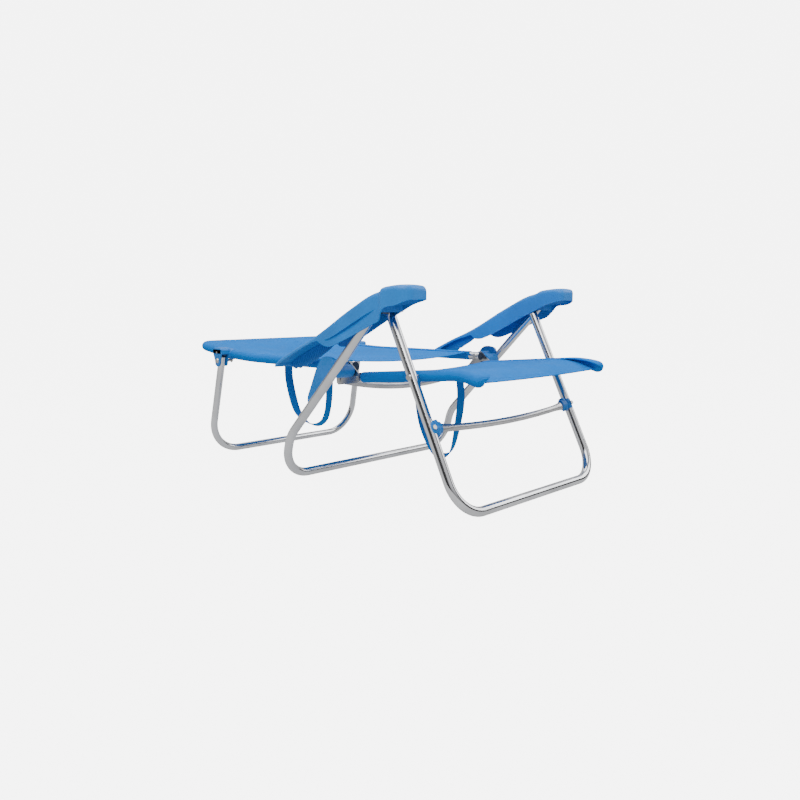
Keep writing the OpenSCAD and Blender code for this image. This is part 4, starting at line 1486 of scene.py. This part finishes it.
class Armrest(SubAssembly):
    """One moulded armrest: a hollow shell with a wide front pad, inner ribs and a scalloped plate."""

    front = -0.103
    rear = 0.350
    inner = 0.2525
    outer = 0.3205
    roll = 0.010
    crown = 0.0022
    end_round = 0.028
    top_line = ((-0.103, 0.0430), (-0.098, 0.0485), (-0.080, 0.0510), (-0.050, 0.0485), (-0.034, 0.0455),
                (-0.022, 0.0395), (0.000, 0.0335), (0.023, 0.0250), (0.055, 0.0095), (0.095, -0.0105),
                (0.125, -0.0270), (0.157, -0.0445), (0.210, -0.0710), (0.265, -0.0935), (0.317, -0.1170),
                (0.337, -0.1270), (0.350, -0.1350))
    outer_line = ((-0.103, 0.0215), (-0.076, 0.0100), (-0.042, 0.0040), (-0.032, -0.0080), (-0.020, -0.0230),
                  (0.000, -0.0315), (0.035, -0.0460), (0.087, -0.0670), (0.131, -0.0830), (0.150, -0.0850),
                  (0.168, -0.0800), (0.184, -0.0740), (0.210, -0.0810), (0.265, -0.1030), (0.317, -0.1270),
                  (0.337, -0.1370), (0.350, -0.1450))
    inner_line = ((-0.103, 0.0215), (-0.060, 0.0110), (-0.022, -0.0060), (0.021, -0.0255), (0.094, -0.0620),
                  (0.150, -0.0860), (0.176, -0.0880), (0.190, -0.0790), (0.213, -0.0845), (0.240, -0.0925),
                  (0.265, -0.1025), (0.290, -0.1140), (0.317, -0.1290), (0.350, -0.1460))
    groove_start = -0.010
    groove_end = 0.160
    groove_depth = 0.0055
    guard_line = ((0.180, -0.0860), (0.200, -0.1010), (0.232, -0.1180), (0.265, -0.1330), (0.296, -0.1440),
                  (0.317, -0.1500), (0.337, -0.1510), (0.349, -0.1490))
    guard_in = 0.2652
    tooth = 0.0040
    tooth_pitch = 0.0200

    def __init__(self, side: Side, sizes: ChairSizes, places: Places, finishes: Finishes,
                 rows: RowOfPieces) -> None:
        """Sets the side.

        Args:
            side: the armrest's side.
            sizes: the chair's sizes.
            places: its pivots.
            finishes: its materials.
            rows: the maker of repeated small pieces.
        """
        super().__init__(sizes, places, finishes, rows)
        self.side = side
        self.body = "armrest_l" if side is Side.LEFT else "armrest_r"

    def make(self) -> None:
        """Builds the shell, its ribs and the plate over the notches."""
        self.keep(self._shell(), self.finishes.arm, "arm_plastic", f"armrest_{self.side.label}")
        self.keep(self._ribs(), self.finishes.arm, "arm_plastic", f"arm_pad_ribs_{self.side.label}")
        self.keep(self._guard(), self.finishes.moulded, "arm_plastic")
        self.keep(self._guard_ribs(), self.finishes.moulded, "arm_plastic")

    def _edges(self, y: float) -> tuple[float, float]:
        """Inner and outer face at a distance behind the axle, rounded in plan at the front."""
        s = self.sizes
        pad = 1 - ease((y + 0.036) / 0.018)
        wide = self.outer + s.pad_extra * pad - 0.004 * ease((y - 0.19) / 0.10)
        into = max(0.0, (self.front + self.end_round - y) / self.end_round)
        rounding = 1 - math.sqrt(max(0.0, 1 - into * into))
        return self.inner + 0.011 * rounding, wide - self.end_round * rounding

    def _section(self, y: float) -> list[tuple[float, float]]:
        """The shell's closed section at a distance behind the axle.

        Args:
            y: the distance.

        Returns:
            (x, z) points: up the inner wall, over the top, down the outer wall and back inside.
        """
        wall = self.sizes.arm_wall
        x0, x1 = self._edges(y)
        top = curve_at(self.top_line, y)
        low0, low1 = (min(curve_at(line, y), top - 0.006) for line in (self.inner_line, self.outer_line))
        roll = min(self.roll, 0.8 * (top - max(low0, low1)))
        share = (y - self.groove_start) / (self.groove_end - self.groove_start)
        depth = self.groove_depth * math.sin(math.pi * share) ** 0.8 if 0 < share < 1 else 0.0
        ledge = low1 + (top - roll - low1) * (0.52 - 0.06 * min(1.0, max(0.0, share)))
        middle, half = (x0 + x1) / 2, (x1 - x0) / 2

        def crowned(x: float) -> float:
            """Extra height of the top at x."""
            return self.crown * (1 - ((x - middle) / half) ** 2)

        ring = [(x0, low0 + (top - roll - low0) * k / 6) for k in range(7)]
        for k in range(1, 7):
            turn = math.radians(15 * k)
            ring.append((x0 + roll * (1 - math.cos(turn)), top - roll + roll * math.sin(turn)))
        for k in range(1, 8):
            x = x0 + roll + (x1 - x0 - 2 * roll) * k / 8
            ring.append((x, top + crowned(x) - crowned(x0 + roll)))
        for k in range(7):
            turn = math.radians(90 - 15 * k)
            ring.append((x1 - roll * (1 - math.cos(turn)), top - roll + roll * math.sin(turn)))
        ring += [(x1, top - roll + (ledge - top + roll) * k / 4) for k in range(1, 5)]
        for k in range(7):
            fade = (1 - k / 6) ** 1.5
            ring.append((x1 - depth * fade, ledge - 0.0004 + (low1 - ledge + 0.0004) * k / 6))
        hollow = [(x1 - wall, low1), (x1 - wall - depth, ledge), (x1 - wall, top - roll)]
        hollow += [(x1 - wall - 0.4 * roll, top - wall - 0.3 * roll), (x1 - wall - roll, top - wall)]
        hollow += [(middle, top - wall), (x0 + wall + roll, top - wall)]
        hollow += [(x0 + wall + 0.4 * roll, top - wall - 0.3 * roll), (x0 + wall, top - roll)]
        hollow.append((x0 + wall, low0))
        open_share = ease((y - self.front - wall) / 0.003) * ease((self.rear - wall - y) / 0.003)
        for x, z in hollow:
            floor = low0 + (low1 - low0) * (x - x0) / (x1 - x0)
            ring.append((x, floor + (z - floor) * open_share))
        return ring

    def _shell(self) -> bpy.types.Object:
        """The whole moulding, swept from front to rear."""
        count = 150
        near, far = self.front + self.end_round, self.rear
        marks = [self.front + self.end_round * (k / 16) ** 2 for k in range(16)]
        marks += [near + (far - near) * k / count for k in range(count + 1)]
        marks += [far - 0.0030, far - 0.0045, far - 0.0060]
        marks.sort()
        origin = self.places.axle
        across = RIGHT * self.side.value
        points, faces = [], []
        rings = [self._section(y) for y in marks]
        size = len(rings[0])
        for y, ring in zip(marks, rings):
            points.extend(Vector((0, origin.y + y, origin.z + z)) + across * x for x, z in ring)
        for i in range(len(rings) - 1):
            for k in range(size):
                j = (k + 1) % size
                faces.append((i * size + k, i * size + j, (i + 1) * size + j, (i + 1) * size + k))
        for start in (0, (len(rings) - 1) * size):
            faces.append([start + k for k in range(size)])
        return build(f"arm_shell_{self.side.label}", points, faces, crease=32.0)

    def _guard(self) -> bpy.types.Object:
        """The scalloped plate that covers the notches from outside."""
        origin = self.places.axle
        span = self.guard_line[-1][0] - self.guard_line[0][0]
        below, above = [], []
        for k in range(113):
            y = self.guard_line[0][0] + span * k / 112
            teeth = self.tooth * abs(math.sin(math.pi * y / self.tooth_pitch)) * ease((y - 0.22) / 0.03)
            below.append(Vector((0, y, curve_at(self.guard_line, y) + self.tooth - teeth)))
            above.append(Vector((0, y, curve_at(self.top_line, y) - 0.0045)))
        shift = origin + RIGHT * (self.side.value * self.guard_in)
        outline = [shift + p for p in [*below, *reversed(above)]]
        return prism(f"notch_guard_{self.side.label}", outline, RIGHT * (self.side.value * 0.0026), 0.0004)

    def _guard_ribs(self) -> bpy.types.Object:
        """Fine upright ribs on the guard plate, by Geometry Nodes."""
        x = self.side.value * (self.guard_in + 0.0026)
        line = []
        for y in (0.205, 0.240, 0.275, 0.310, 0.342):
            middle = (curve_at(self.guard_line, y) + curve_at(self.top_line, y)) / 2
            line.append(self.places.axle + Vector((x, y, middle)))
        return self.rows.along(f"guard_ribs_{self.side.label}", [line], 0.0068, (0.0018, 0.026, 0.0016),
                               self.finishes.arm)

    def _ribs(self) -> bpy.types.Object:
        """Stiffening ribs across the hollow underside of the pad."""
        origin = self.places.axle
        parts = []
        for k in range(4):
            y = self.front + 0.024 + 0.016 * k
            x0, x1 = (edge + grow for edge, grow in zip(self._edges(y), (0.003, -0.003)))
            top, low = curve_at(self.top_line, y) - 0.003, curve_at(self.outer_line, y) + 0.004
            outline = [Vector((self.side.value * x, origin.y + y, origin.z + z))
                       for x, z in ((x0, low), (x1, low), (x1, top - 0.008), (x1 - 0.010, top),
                                    (x0 + 0.010, top), (x0, top - 0.008))]
            parts.append(prism("rib", outline, Vector((0, 0.0022, 0)), 0.0004))
        return joined(f"underside_ribs_{self.side.label}", parts)


# ---------------------------------------------------------------- studio


@dataclass(frozen=True)
class Studio:
    """Plain pale floor, soft light and the camera."""

    pale: float = 6.2
    floor_glow: float = 0.55
    camera_at: tuple[float, float, float] = (-1.3808, -1.4178, 0.4509)
    heading: float = 45.82
    dip: float = 7.84
    roll: float = 0.29
    lens: float = 32.65

    def make(self) -> None:
        """Builds the floor, the lights, the world and the camera."""
        self._floor()
        self._world()
        self._lamp("key", (-1.6, -1.0, 2.6), 2.6, 85.0)
        self._lamp("fill", (2.4, -1.6, 2.0), 2.2, 46.0)
        self._lamp("top", (0.2, 0.8, 3.0), 3.0, 60.0)
        self._camera()

    def _floor(self) -> None:
        """A wide floor that runs up into a backdrop, with one plain pale finish."""
        line = [Vector((0, -9.0, 0)), Vector((0, 9.0, 0)), Vector((0, 9.0, 7.0))]
        path = rounded(line, [3.0], 0.5)
        turn = Matrix.Rotation(math.radians(-self.heading), 3, "Z")
        points = []
        for p in path:
            points += [turn @ (p - RIGHT * 14), turn @ (p + RIGHT * 14)]
        faces = [(2 * k, 2 * k + 1, 2 * k + 3, 2 * k + 2) for k in range(len(path) - 1)]
        mesh = bpy.data.meshes.new("studio_floor")
        mesh.from_pydata([tuple(p) for p in points], [], faces)
        mesh.polygons.foreach_set("use_smooth", [True] * len(faces))
        floor = place("studio_floor", mesh)
        material, tree, shader = new_material("pale_floor")
        shader.inputs["Base Color"].default_value = (0.16, 0.16, 0.16, 1)
        shader.inputs["Roughness"].default_value = 0.9
        shader.inputs["Specular IOR Level"].default_value = 0.0
        shown = add(tree, "ShaderNodeLightPath").outputs["Is Camera Ray"]
        glow = mix_colour(tree, shown, (self.floor_glow,) * 3, (self.pale,) * 3)
        tree.links.new(glow, shader.inputs["Emission Color"])
        shader.inputs["Emission Strength"].default_value = 1.0
        dress(floor, material)

    def _world(self) -> None:
        """Soft surroundings with a few darker bands, which streak the polished tubes."""
        world = bpy.data.worlds.new("studio_world")
        bpy.context.scene.world = world
        world.use_nodes = True
        tree = world.node_tree
        tree.nodes.clear()
        way = add(tree, "ShaderNodeTexCoord").outputs["Generated"]
        split = add(tree, "ShaderNodeSeparateXYZ", {"Vector": way})
        height = add(tree, "ShaderNodeValToRGB", {"Fac": split.outputs["Z"]})
        ramp = height.color_ramp
        stops = ((0.0, 0.55), (0.10, 0.20), (0.30, 0.55), (0.62, 1.0), (0.80, 0.55), (1.0, 1.05))
        ramp.elements[0].position, ramp.elements[1].position = stops[0][0], stops[-1][0]
        for position, _ in stops[1:-1]:
            ramp.elements.new(position)
        for element, (_, grey) in zip(ramp.elements, stops):
            element.color = (grey, grey, grey * 1.02, 1)
        turned = math_node(tree, "ARCTAN2", split.outputs["Y"], split.outputs["X"])
        bands = math_node(tree, "SINE", math_node(tree, "ADD", math_node(tree, "MULTIPLY", turned, 3.0), 0.6))
        flags = spread(tree, bands, -0.55, 0.35, 0.10, 1.0)
        lit = mix_colour(tree, 1.0, height.outputs["Color"], flags, "MULTIPLY")
        shown = add(tree, "ShaderNodeLightPath").outputs["Is Camera Ray"]
        colour = mix_colour(tree, shown, lit, (self.pale, self.pale, self.pale))
        back = add(tree, "ShaderNodeBackground", {"Color": colour, "Strength": 1.0})
        add(tree, "ShaderNodeOutputWorld", {"Surface": back.outputs["Background"]})

    @staticmethod
    def _lamp(name: str, at: tuple[float, float, float], size: float, power: float) -> None:
        """One large soft lamp that looks at the chair."""
        data = bpy.data.lights.new(name, "AREA")
        data.shape = "SQUARE"
        data.size = size
        data.energy = power
        lamp = place(name, data)
        lamp.location = at
        lamp.rotation_euler = (Vector((0, 0, 0.25)) - Vector(at)).to_track_quat("-Z", "Y").to_euler()

    def _camera(self) -> None:
        """The camera."""
        data = bpy.data.cameras.new("camera")
        data.lens = self.lens
        data.sensor_width = 36.0
        camera = place("camera", data)
        yaw, dip = math.radians(self.heading), math.radians(self.dip)
        ahead = Vector((math.sin(yaw) * math.cos(dip), math.cos(yaw) * math.cos(dip), -math.sin(dip)))
        aim = ahead.to_track_quat("-Z", "Y").to_matrix()
        camera.matrix_world = Matrix.Translation(self.camera_at) @ (
            aim @ Matrix.Rotation(math.radians(self.roll), 3, "Z")
        ).to_4x4()
        bpy.context.scene.camera = camera


# ---------------------------------------------------------------- main


def main() -> None:
    logging.basicConfig(level=logging.INFO, format="%(name)s %(message)s")
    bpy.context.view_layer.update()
    Studio().make()
    shared = (ChairSizes(), Places.from_joints(frame["joints"]), Finishes(), RowOfPieces())
    parts: list[SubAssembly] = [FrontLegs(*shared), RearLegs(*shared), Seat(*shared), Back(*shared),
                                HeadLeg(*shared)]
    parts += [Armrest(side, *shared) for side in Side]
    for part in parts:
        part.make()
        part.report()
    bpy.context.view_layer.update()


if __name__ == "__main__":
    main()
